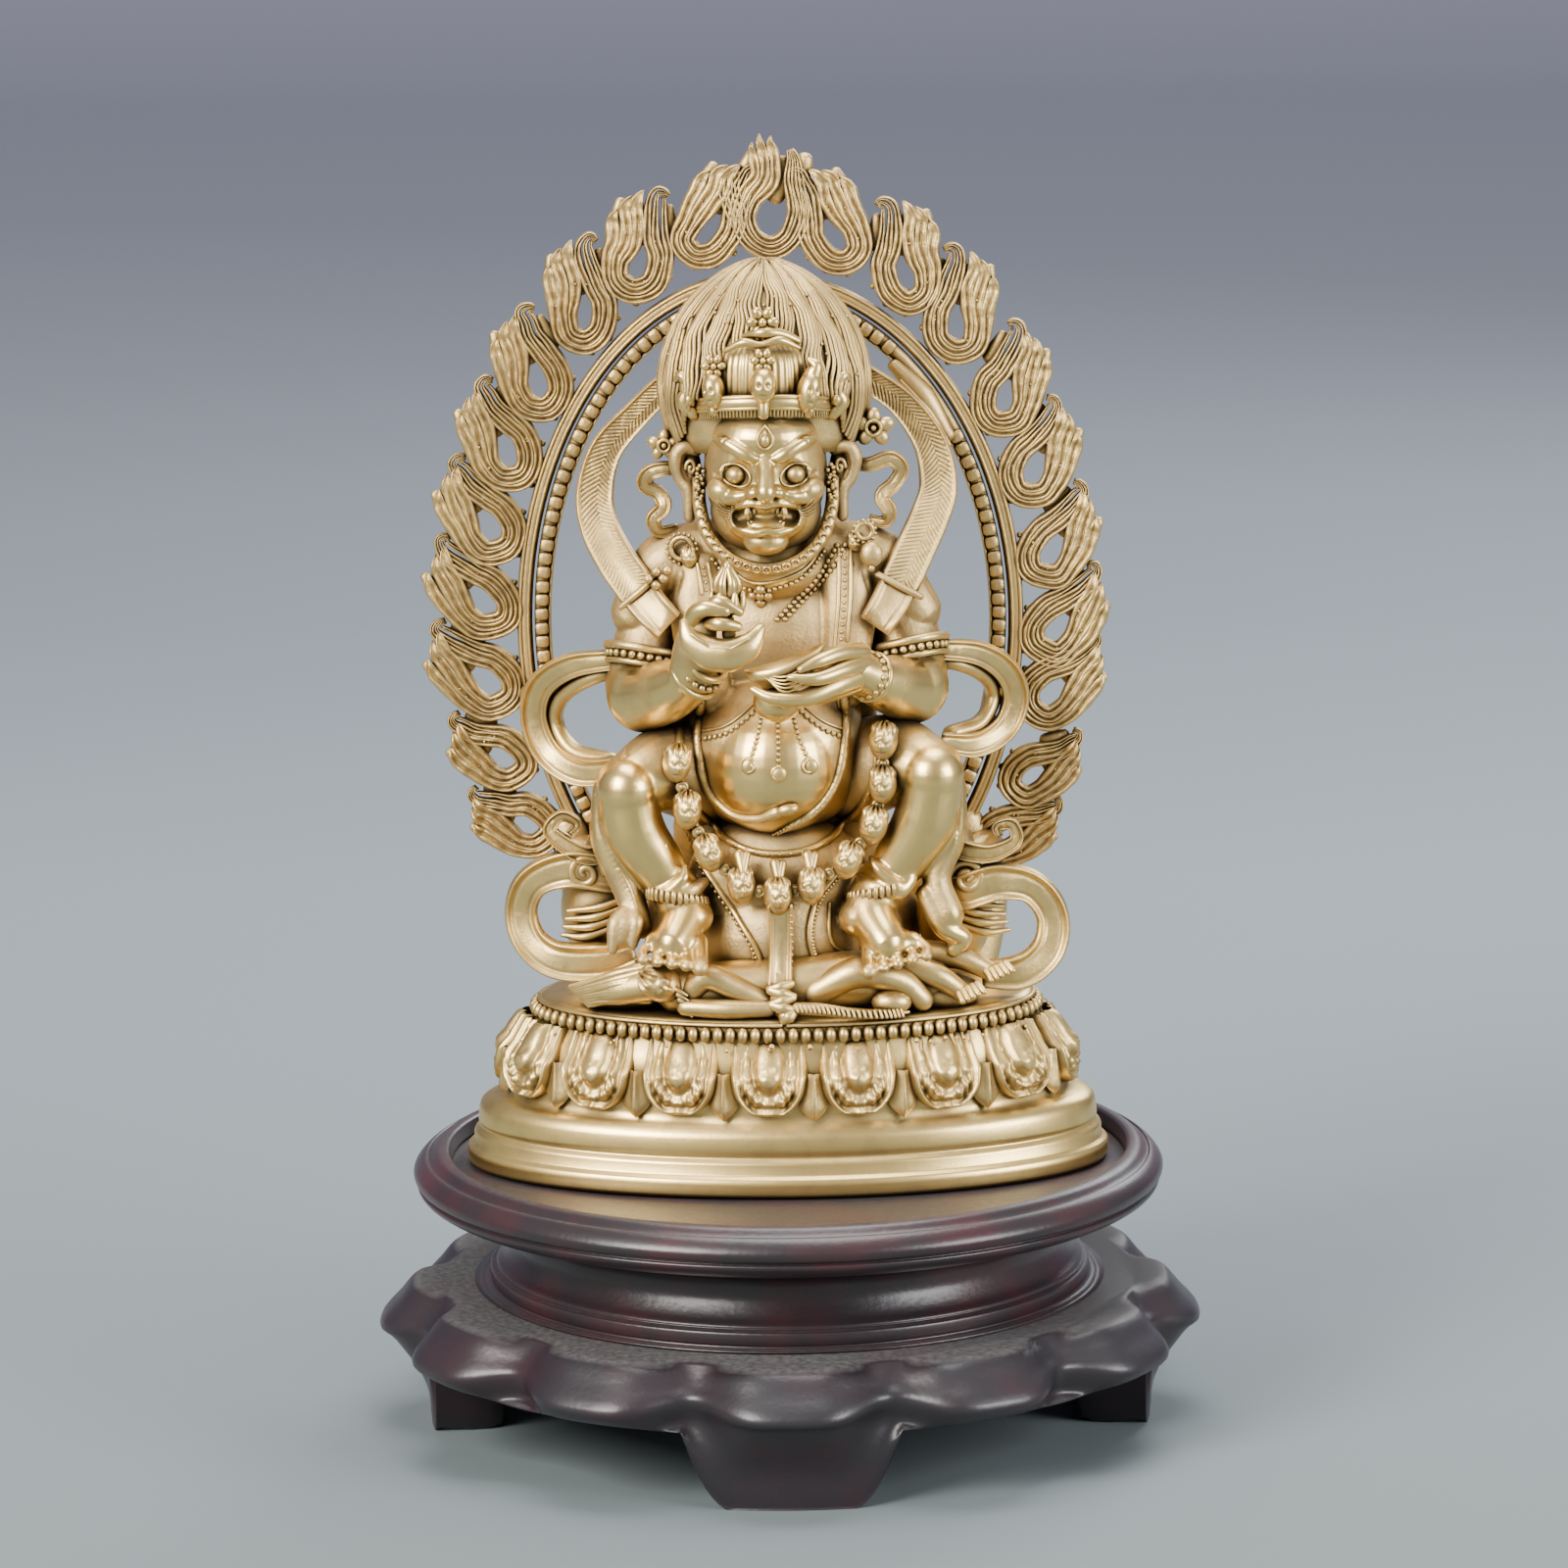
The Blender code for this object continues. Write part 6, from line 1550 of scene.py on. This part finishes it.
class Underfoot:
    """The fallen body on the platform below the feet."""

    def build(self) -> Thing:
        """Builds head, streaming hair, arms and legs of the fallen body."""
        clay = Clay()
        clay.limb([(-18.0, -18.0, 33.2), (-4.0, -17.4, 33.8), (12.0, -16.6, 34.4), (24.0, -14.4, 33.6)],
            [4.0, 4.6, 4.8, 3.8], sides=24)
        clay.mask((-20.8, -20.6, 34.8), (3.4, 3.4, 3.7), (0.0, -62.0, 14.0))
        for k in range(13):
            share = k / 12
            start = (-22.4 - 0.6 * share, -19.4 - 1.6 * math.sin(share * 3.1), 38.2 - 6.4 * share)
            middle = (-28.6, -18.4 - 1.0 * math.sin(share * 3.1),
                36.2 - 4.8 * share + 0.4 * math.sin(k * 1.7))
            end = (-36.4 + 3.2 * share, -14.8 - 1.6 * share, 33.2 - 3.0 * share)
            clay.limb([start, middle, end], [0.7, 0.8, 0.3], sides=10)
        clay.limb([(-21.4, -20.2, 35.0), (-28.0, -17.8, 33.2), (-33.6, -15.0, 31.4)], [3.0, 2.6, 1.2],
            sides=16)
        for k in range(5):
            clay.limb([(-18.4 + 0.3 * k, -23.0, 34.4 - 0.9 * k), (-16.6 + 0.2 * k, -23.4, 33.4 - 0.9 * k)],
                [0.5, 0.2], sides=8)
        clay.limb([(-17.0, -20.0, 31.6), (-13.4, -21.4, 36.0), (-8.4, -21.6, 34.0), (-3.2, -21.8, 31.6)],
            [2.0, 2.3, 2.2, 1.9], sides=20)
        clay.limb([(-16.8, -22.4, 31.2), (-10.0, -23.4, 31.0), (-3.0, -23.4, 31.0)], [1.5, 1.7, 1.5],
            sides=16)
        clay.limb([(5.0, -20.2, 33.0), (12.0, -20.8, 36.4), (19.0, -19.8, 34.6), (22.6, -19.4, 31.4)],
            [2.4, 2.7, 2.4, 2.0], sides=20)
        clay.limb([(19.6, -17.0, 36.8), (25.4, -18.0, 35.0), (29.6, -17.4, 32.0)], [2.6, 2.1, 1.6], sides=16)
        clay.limb([(22.0, -12.0, 37.6), (29.0, -13.0, 37.2), (34.4, -13.0, 34.6)], [2.6, 2.1, 1.6], sides=16)
        for foot, way in (((30.0, -18.0, 31.6), 0.9), ((35.0, -13.6, 34.2), 1.0)):
            for k in range(5):
                clay.limb([(foot[0] - 1.4 * way + 0.8 * k, foot[1] - 0.8, foot[2] + 0.8 + 0.35 * k),
                    (foot[0] - 0.6 * way + 0.9 * k, foot[1] - 2.2, foot[2] - 0.4 + 0.4 * k)], [0.62, 0.55],
                    sides=10)
        clay.ball((17.6, -21.2, 31.4), (3.4, 2.4, 2.2), fine=18)
        clay.ball((25.0, -12.0, 31.2), (8.0, 6.0, 3.4), fine=24)
        clay.ball((-26.0, -10.0, 31.4), (9.0, 7.0, 3.6), fine=24)
        return clay.build("fallen_body")


@dataclass
class Stand:
    """Turned tray and lobed foot, finer than their solids and on the same sizes."""

    top: float = 0.0476
    sides: int = 360

    def tray(self) -> Thing:
        """Builds the tray from the rim's moulded profile, in metres."""
        low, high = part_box("stand_tray")
        bottom, top, radius = low[2], high[2], high[0]
        waist, tall = radius * 0.80, high[2] - low[2]
        inner, floor = radius - 0.0062, high[2] - 0.0030
        edge = bottom + tall * 0.62
        profile = [(0.0005, bottom), (waist - 0.0012, bottom), (waist - 0.0003, bottom + 0.0002),
            (waist, bottom + 0.0010), (waist, bottom + tall * 0.09), (waist - 0.0002, bottom + tall * 0.115),
            (waist - 0.0011, bottom + tall * 0.13), (waist - 0.0012, bottom + tall * 0.15),
            (waist - 0.0024, bottom + tall * 0.20), (waist - 0.0036, bottom + tall * 0.30),
            (waist - 0.0038, bottom + tall * 0.38), (waist - 0.0032, bottom + tall * 0.48),
            (waist + 0.0004, bottom + tall * 0.565), (radius - 0.0082, edge - 0.0006),
            (radius - 0.0048, edge), (radius - 0.0028, edge + 0.0007), (radius - 0.0012, edge + 0.0017),
            (radius - 0.0006, edge + 0.0027), (radius - 0.0011, edge + 0.0032),
            (radius - 0.0004, edge + 0.0036), (radius, edge + 0.0046), (radius - 0.0003, edge + 0.0056),
            (radius - 0.0013, edge + 0.0068), (radius - 0.0022, edge + 0.0074),
            (radius - 0.0025, edge + 0.0072), (radius - 0.0031, edge + 0.0076),
            (radius - 0.0040, top - 0.0003), (radius - 0.0050, top), (inner + 0.0006, top),
            (inner + 0.0001, top - 0.0003), (inner, top - 0.0007), (inner - 0.0003, floor + 0.0004),
            (inner - 0.0008, floor), (0.0005, floor)]
        clay = Clay()
        path, _ = smooth_path([(r, 0.0, z) for r, z in profile], 3)
        turns = np.linspace(0.0, 2 * math.pi, self.sides, endpoint=False)
        radii = np.clip(path[:, 0], 0.0004, radius)
        heights = np.clip(path[:, 2], bottom, top)
        rows = np.stack([np.outer(radii, np.cos(turns)), np.outer(radii, np.sin(turns)),
            np.outer(heights, np.ones(self.sides))], axis=-1)
        clay.skin((rows - ORIGIN) / SHARE)
        return clay.build("tray_turned")

    def foot(self) -> Thing:
        """Builds the lobed plate with bracket feet from its column profile, in metres."""
        lobe_radius, _, plate_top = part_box("stand_foot")[1]
        clear = plate_top - 0.0108
        columns = []
        for k in range(self.sides * 2):
            angle = math.pi * k / self.sides
            notch = (0.5 - 0.5 * math.cos(angle * 12)) ** 2.2
            off = abs((angle + math.pi / 4) % (math.pi / 2) - math.pi / 4)
            drop = min(max((off - math.radians(9.0)) / math.radians(7.5), 0.0), 1.0)
            leg = math.cos(drop * math.pi / 2) ** 0.7 if drop < 1.0 else 0.0
            under = clear * (1.0 - leg)
            knots = [(lobe_radius - 0.0110, plate_top),
                (lobe_radius - 0.0064 - 0.0030 * notch, plate_top - 0.0022 * notch),
                (lobe_radius - 0.0032 - 0.0050 * notch, plate_top - 0.0032 - 0.0004 * notch),
                (lobe_radius - 0.0066 * notch, plate_top - 0.0072 + 0.0016 * notch),
                (lobe_radius - 0.0024 - 0.0056 * notch, clear + 0.0012),
                (lobe_radius - 0.0060 - 0.0016 * leg, clear - (clear - under) * 0.45),
                (lobe_radius - 0.0072 - 0.0014 * leg, under + 0.0006 * leg),
                (lobe_radius - 0.0084 - 0.0014 * leg, under), (lobe_radius - 0.0200, under),
                (lobe_radius - 0.0230, clear), (0.0010, clear)]
            path, _ = smooth_path([(r, 0.0, z) for r, z in knots], 4)
            radii = np.clip(path[:, 0], 0.0005, lobe_radius)
            columns.append(np.stack([radii * math.sin(angle), -radii * math.cos(angle),
                np.clip(path[:, 2], 0.0, plate_top)], axis=-1))
        rows = np.array(columns).transpose(1, 0, 2)
        clay = Clay()
        clay.skin((rows - ORIGIN) / SHARE)
        return clay.build("foot_carved")


@dataclass(frozen=True)
class Shade:
    """Colours of one metal finish as linear values, with its roughness, and its masks' sizes in metres; the
    dark colour is painted shade for creases.
    """

    clean: Spot
    dull: Spot
    # painted shade: the colour mixed in where creases and touching parts fall into shadow
    dark: Spot
    rough: float
    crevice_reach: float = 0.0034
    mottle_scale: float = 260.0
    grain_scale: float = 1700.0
    grain_deep: float = 0.00011
    grain_fine: float = 0.00001


@dataclass(frozen=True)
class Lacquer:
    """Colours of dark lacquered wood as linear values, with its roughness and dust."""

    colour: Spot
    edge: Spot
    rough: float
    dust: float
    dust_colour: Spot = (0.13, 0.125, 0.12)


# The third colour of BRASS is painted shade for creases and places where parts touch.
BRASS = Shade((0.93, 0.66, 0.24), (0.60, 0.42, 0.19), (0.050, 0.029, 0.014), 0.34)
TRAY_LACQUER = Lacquer((0.018, 0.012, 0.014), (0.060, 0.010, 0.014), 0.33, 0.3)
FOOT_LACQUER = Lacquer((0.015, 0.012, 0.015), (0.034, 0.010, 0.014), 0.38, 0.9)


class Graph:
    """Adds nodes to a tree and joins them."""

    def __init__(self, tree: bpy.types.NodeTree) -> None:
        """Takes the tree."""
        self.tree = tree

    def fill(self, node: bpy.types.Node, inputs: dict) -> None:
        """Fills a node's inputs with values, or joins them to other nodes' outputs."""
        for key, value in inputs.items():
            if isinstance(value, bpy.types.NodeSocket):
                self.tree.links.new(value, node.inputs[key])
            else:
                node.inputs[key].default_value = value

    def add(self, kind: str, inputs: dict | None = None, **settings: object) -> bpy.types.Node:
        """Adds a shader node.

        Args:
            kind: its type, without the word that all begin with.
            inputs: values or outputs for its inputs.
            settings: its own options.

        Returns:
            The node.
        """
        node = self.tree.nodes.new("ShaderNode" + kind)
        for key, value in settings.items():
            setattr(node, key, value)
        self.fill(node, inputs or {})
        return node

    def span(self, value: Socket, low: float, high: float, to_low: float = 0.0,
            to_high: float = 1.0) -> Socket:
        """Returns a value mapped from one range to another."""
        return self.add("MapRange", {"From Min": low, "From Max": high, "To Min": to_low, "To Max": to_high,
            "Value": value}).outputs["Result"]

    def mix(self, share: Socket, first: Socket | Spot, second: Socket | Spot) -> Socket:
        """Returns a mix of two colours."""
        a, b = ((*colour, 1.0) if isinstance(colour, tuple) else colour for colour in (first, second))
        return self.add("Mix", {"A": a, "B": b, "Factor": share}, data_type="RGBA").outputs["Result"]

    def noise(self, place: Socket, scale: Socket | float, detail: float, rough: float = 0.5) -> Socket:
        """Returns noise at a place."""
        return self.add("TexNoise", {"Scale": scale, "Detail": detail, "Roughness": rough,
            "Vector": place}).outputs["Fac"]

    def product(self, *terms: Socket | float, clamp: bool = False) -> Socket:
        """Returns the product of two terms, plus the third where there is one."""
        kind = "MULTIPLY" if len(terms) == 2 else "MULTIPLY_ADD"
        return self.add("Math", dict(enumerate(terms)), operation=kind, use_clamp=clamp).outputs[0]


def blank_material(name: str) -> tuple[bpy.types.Material, Graph, bpy.types.Node]:
    """Returns a new material with its graph and its Principled shader."""
    material = bpy.data.materials.new(name)
    material.use_nodes = True
    return material, Graph(material.node_tree), material.node_tree.nodes["Principled BSDF"]


class Workshop:
    """Makes the shared node group once and the materials from it."""

    def __init__(self) -> None:
        """Makes the node group."""
        self.shade_mottle_grain = self.shade_mottle_grain_group()

    def shade_mottle_grain_group(self) -> bpy.types.NodeTree:
        """Returns the group that gives a painted crevice shade mask from ambient occlusion, and the mottle
        and grain masks.
        """
        tree = bpy.data.node_groups.new("painted_shade_mottle_grain", "ShaderNodeTree")
        for way, names in (("INPUT", ("Crevice Reach", "Mottle Scale", "Grain Scale")),
                ("OUTPUT", ("Painted Crevice Shade", "Mottle", "Grain"))):
            for name in names:
                tree.interface.new_socket(name, in_out=way, socket_type="NodeSocketFloat")
        graph = Graph(tree)
        given = tree.nodes.new("NodeGroupInput").outputs
        place = graph.add("TexCoord").outputs["Object"]
        # Painted shade: ambient occlusion darkens creases and places where parts touch.
        shadow = graph.add("AmbientOcclusion", {"Distance": given["Crevice Reach"]}, samples=6)
        graph.fill(tree.nodes.new("NodeGroupOutput"),
            {"Painted Crevice Shade": graph.span(shadow.outputs["AO"], 0.90, 0.32),
            "Mottle": graph.noise(place, given["Mottle Scale"], 5.0),
            "Grain": graph.noise(place, given["Grain Scale"], 4.0, 0.65)})
        return tree

    def brass(self, finish: Finish, shade: Shade = BRASS) -> bpy.types.Material:
        """Returns a brass material.

        Args:
            finish: how polished it is.
            shade: its colours.

        Returns:
            The material.
        """
        material, graph, shader = blank_material("brass_" + finish.name.lower())
        masks = graph.add("Group", node_tree=self.shade_mottle_grain)
        graph.fill(masks, {"Crevice Reach": shade.crevice_reach, "Mottle Scale": shade.mottle_scale,
            "Grain Scale": shade.grain_scale})
        crevice, mottle, grain = (masks.outputs[name] for name in ("Painted Crevice Shade", "Mottle", "Grain"))
        if finish is Finish.MIXED:
            level = graph.add("Attribute", attribute_name="polish").outputs["Fac"]
        else:
            level = graph.add("Value").outputs[0]
            level.default_value = finish.value
        bared = graph.product(level, 0.85, graph.span(mottle, 0.35, 0.65, 0.0, 0.5), clamp=True)
        body = graph.mix(bared, shade.dull, shade.clean)
        rough = graph.span(level, 0.0, 1.0, shade.rough + 0.14, shade.rough - 0.05)
        height = graph.product(grain, graph.span(level, 0.0, 1.0, shade.grain_deep, shade.grain_fine))
        bump = graph.add("Bump", {"Distance": 1.0, "Height": height})
        # Painted shade: the dark colour is mixed into the base colour where the occlusion mask finds creases.
        graph.fill(shader, {"Metallic": 1.0, "Base Color": graph.mix(crevice, body, shade.dark),
            "Roughness": graph.product(crevice, 0.35, rough), "Normal": bump.outputs["Normal"]})
        return material

    def lacquer(self, name: str, finish: Lacquer) -> bpy.types.Material:
        """Returns dark lacquered wood mottled redder by noise, with dust on its level faces.

        Args:
            name: material name.
            finish: its colours, roughness and dust.

        Returns:
            The material.
        """
        material, graph, shader = blank_material(name)
        place = graph.add("TexCoord").outputs["Object"]
        wood = graph.mix(graph.span(graph.noise(place, 75.0, 6.0), 0.44, 0.92), finish.colour, finish.edge)
        upward = graph.add("SeparateXYZ", {"Vector": graph.add("NewGeometry").outputs["Normal"]}).outputs["Z"]
        specks = graph.noise(place, 900.0, 3.0)
        dust = graph.product(graph.span(upward, 0.80, 0.99, 0.0, finish.dust), specks)
        bump = graph.add("Bump", {"Strength": 0.25, "Distance": 0.0002, "Height": specks})
        graph.fill(shader, {"Coat Weight": 0.10, "Coat Roughness": 0.30,
            "Base Color": graph.mix(dust, wood, finish.dust_colour),
            "Roughness": graph.product(dust, 0.9, finish.rough), "Normal": bump.outputs["Normal"]})
        return material


@dataclass
class Studio:
    """Pale floor with a curved backdrop, soft lights and the camera at the photo's angle."""

    distance: float = 1.3
    pitch: float = 11.0
    roll: float = -0.65
    aim: float = 0.1097
    focal_px: float = 7826.0
    frame_px: float = 1600.0
    # Painted light and shade: the backdrop tones run darker in front and lighter further back, standing in
    # for how the studio light falls across it.
    near_shaded_tone: Spot = (0.130, 0.158, 0.158)
    tone: Spot = (0.215, 0.252, 0.280)
    far_lit_tone: Spot = (0.42, 0.425, 0.53)

    def build(self) -> None:
        """Makes floor, lights, world and camera."""
        self.sweep()
        scene = bpy.context.scene
        world = bpy.data.worlds.new("studio")
        scene.world = world
        world.use_nodes = True
        Graph(world.node_tree).fill(world.node_tree.nodes["Background"],
            {"Color": (0.66, 0.67, 0.70, 1.0), "Strength": 0.60})
        self.lamp("key", (-0.75, -0.85, 0.75), 0.60, 34.0, (1.0, 0.97, 0.93))
        self.lamp("fill", (0.95, -0.60, 0.45), 0.55, 15.0, (0.97, 0.98, 1.0))
        self.lamp("top", (0.05, 0.10, 1.15), 0.70, 16.0, (1.0, 1.0, 1.0))
        self.lamp("back", (0.5, 0.95, 0.7), 0.5, 6.0, (0.95, 0.97, 1.0))
        camera = bpy.data.objects.new("camera", bpy.data.cameras.new("camera"))
        scene.collection.objects.link(camera)
        pitch = math.radians(self.pitch)
        look = Vector((0.0, math.cos(pitch), -math.sin(pitch)))
        spot = Vector((0.0, 0.0, self.aim)) - look * self.distance
        camera.matrix_world = (Matrix.Translation(spot) @ Matrix.Rotation(math.radians(90.0) - pitch, 4, "X")
            @ Matrix.Rotation(math.radians(self.roll), 4, "Z"))
        camera.data.sensor_width = 36.0
        camera.data.lens = 36.0 * self.focal_px / self.frame_px
        camera.data.clip_start = 0.05
        scene.camera = camera

    def lamp(self, name: str, place: Spot, size: float, power: float, colour: Spot) -> None:
        """Adds one soft light aimed at the figure."""
        data = bpy.data.lights.new(name, "AREA")
        data.size = size
        data.energy = power
        data.color = colour
        thing = bpy.data.objects.new(name, data)
        thing.location = place
        thing.rotation_euler = (Vector((0.0, 0.0, 0.12)) - Vector(place)).to_track_quat("-Z", "Y").to_euler()
        bpy.context.collection.objects.link(thing)

    def sweep(self) -> None:
        """Adds the floor that curves up into the backdrop."""
        rows = []
        for depth, height in [(-4.0, 0.0), (2.2, 0.0)] + [(2.2 + 0.8 * math.sin(a), 0.8 - 0.8 * math.cos(a))
                for a in np.linspace(0.1, math.pi / 2, 12)] + [(3.0, 2.6)]:
            rows.append([(x, depth, height) for x in (-5.0, 5.0)])
        points = [p for row in rows for p in row]
        faces = [(2 * k, 2 * k + 1, 2 * k + 3, 2 * k + 2) for k in range(len(rows) - 1)]
        mesh = bpy.data.meshes.new("floor")
        mesh.from_pydata(points, [], faces)
        mesh.shade_smooth()
        floor = bpy.data.objects.new("floor", mesh)
        bpy.context.collection.objects.link(floor)
        material, graph, shader = blank_material("backdrop")
        depth = graph.add("SeparateXYZ", {"Vector": graph.add("TexCoord").outputs["Object"]}).outputs["Y"]
        # Painted light: the tone steps lighter up the backdrop and darker towards the front.
        tone = graph.mix(graph.span(depth, 0.8, 2.4), self.tone, self.far_lit_tone)
        tone = graph.mix(graph.span(depth, 0.45, -0.15), tone, self.near_shaded_tone)
        graph.fill(shader, {"Roughness": 0.75, "Base Color": tone})
        mesh.materials.append(material)
        floor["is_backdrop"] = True


def main() -> None:
    """Builds every piece in order and reports it."""
    logging.basicConfig(level=logging.INFO, format="%(message)s")
    Studio().build()
    shop = Workshop()
    grained, bright, polished, mixed = (shop.brass(finish) for finish in Finish)
    pieces = [(thing, grained) for thing in Aureole().build()]
    plinth, petals, beads = LotusBase().build()
    pieces += [(plinth, polished), (petals, bright), (beads, bright)]
    torso, legs = Body().build()
    head, face = Head().build()
    crown = Crown()
    pieces += [(torso, mixed), (legs, mixed), (head, mixed), (face, bright), (crown.hair(), grained),
        (crown.regalia(), polished), (Hands().build(), polished)]
    ribbons = Ribbons()
    pieces += [(ribbons.halo(), grained), (ribbons.loops(), bright)]
    drape = Drape([torso, legs])
    trim = Trim()
    pieces += [(trim.jewels(drape), bright), (trim.garland(drape), bright), (trim.sash(drape), bright),
        (Underfoot().build(), bright)]
    for thing, material in pieces:
        thin(thing, SKIN_KEPT if thing in (torso, legs, head) else PIECE_KEPT)
        wear(thing, material)
    stand = Stand()
    wear(stand.tray(), shop.lacquer("lacquer_tray", TRAY_LACQUER), "stand_tray")
    wear(stand.foot(), shop.lacquer("lacquer_foot", FOOT_LACQUER), "stand_foot")
    total = 0
    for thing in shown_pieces():
        count = sum(len(face.vertices) - 2 for face in thing.data.polygons)
        total += count
        LOG.info("%s: %d triangles", thing.name, count)
    LOG.info("all pieces: %d triangles", total)


if __name__ == "__main__":
    main()
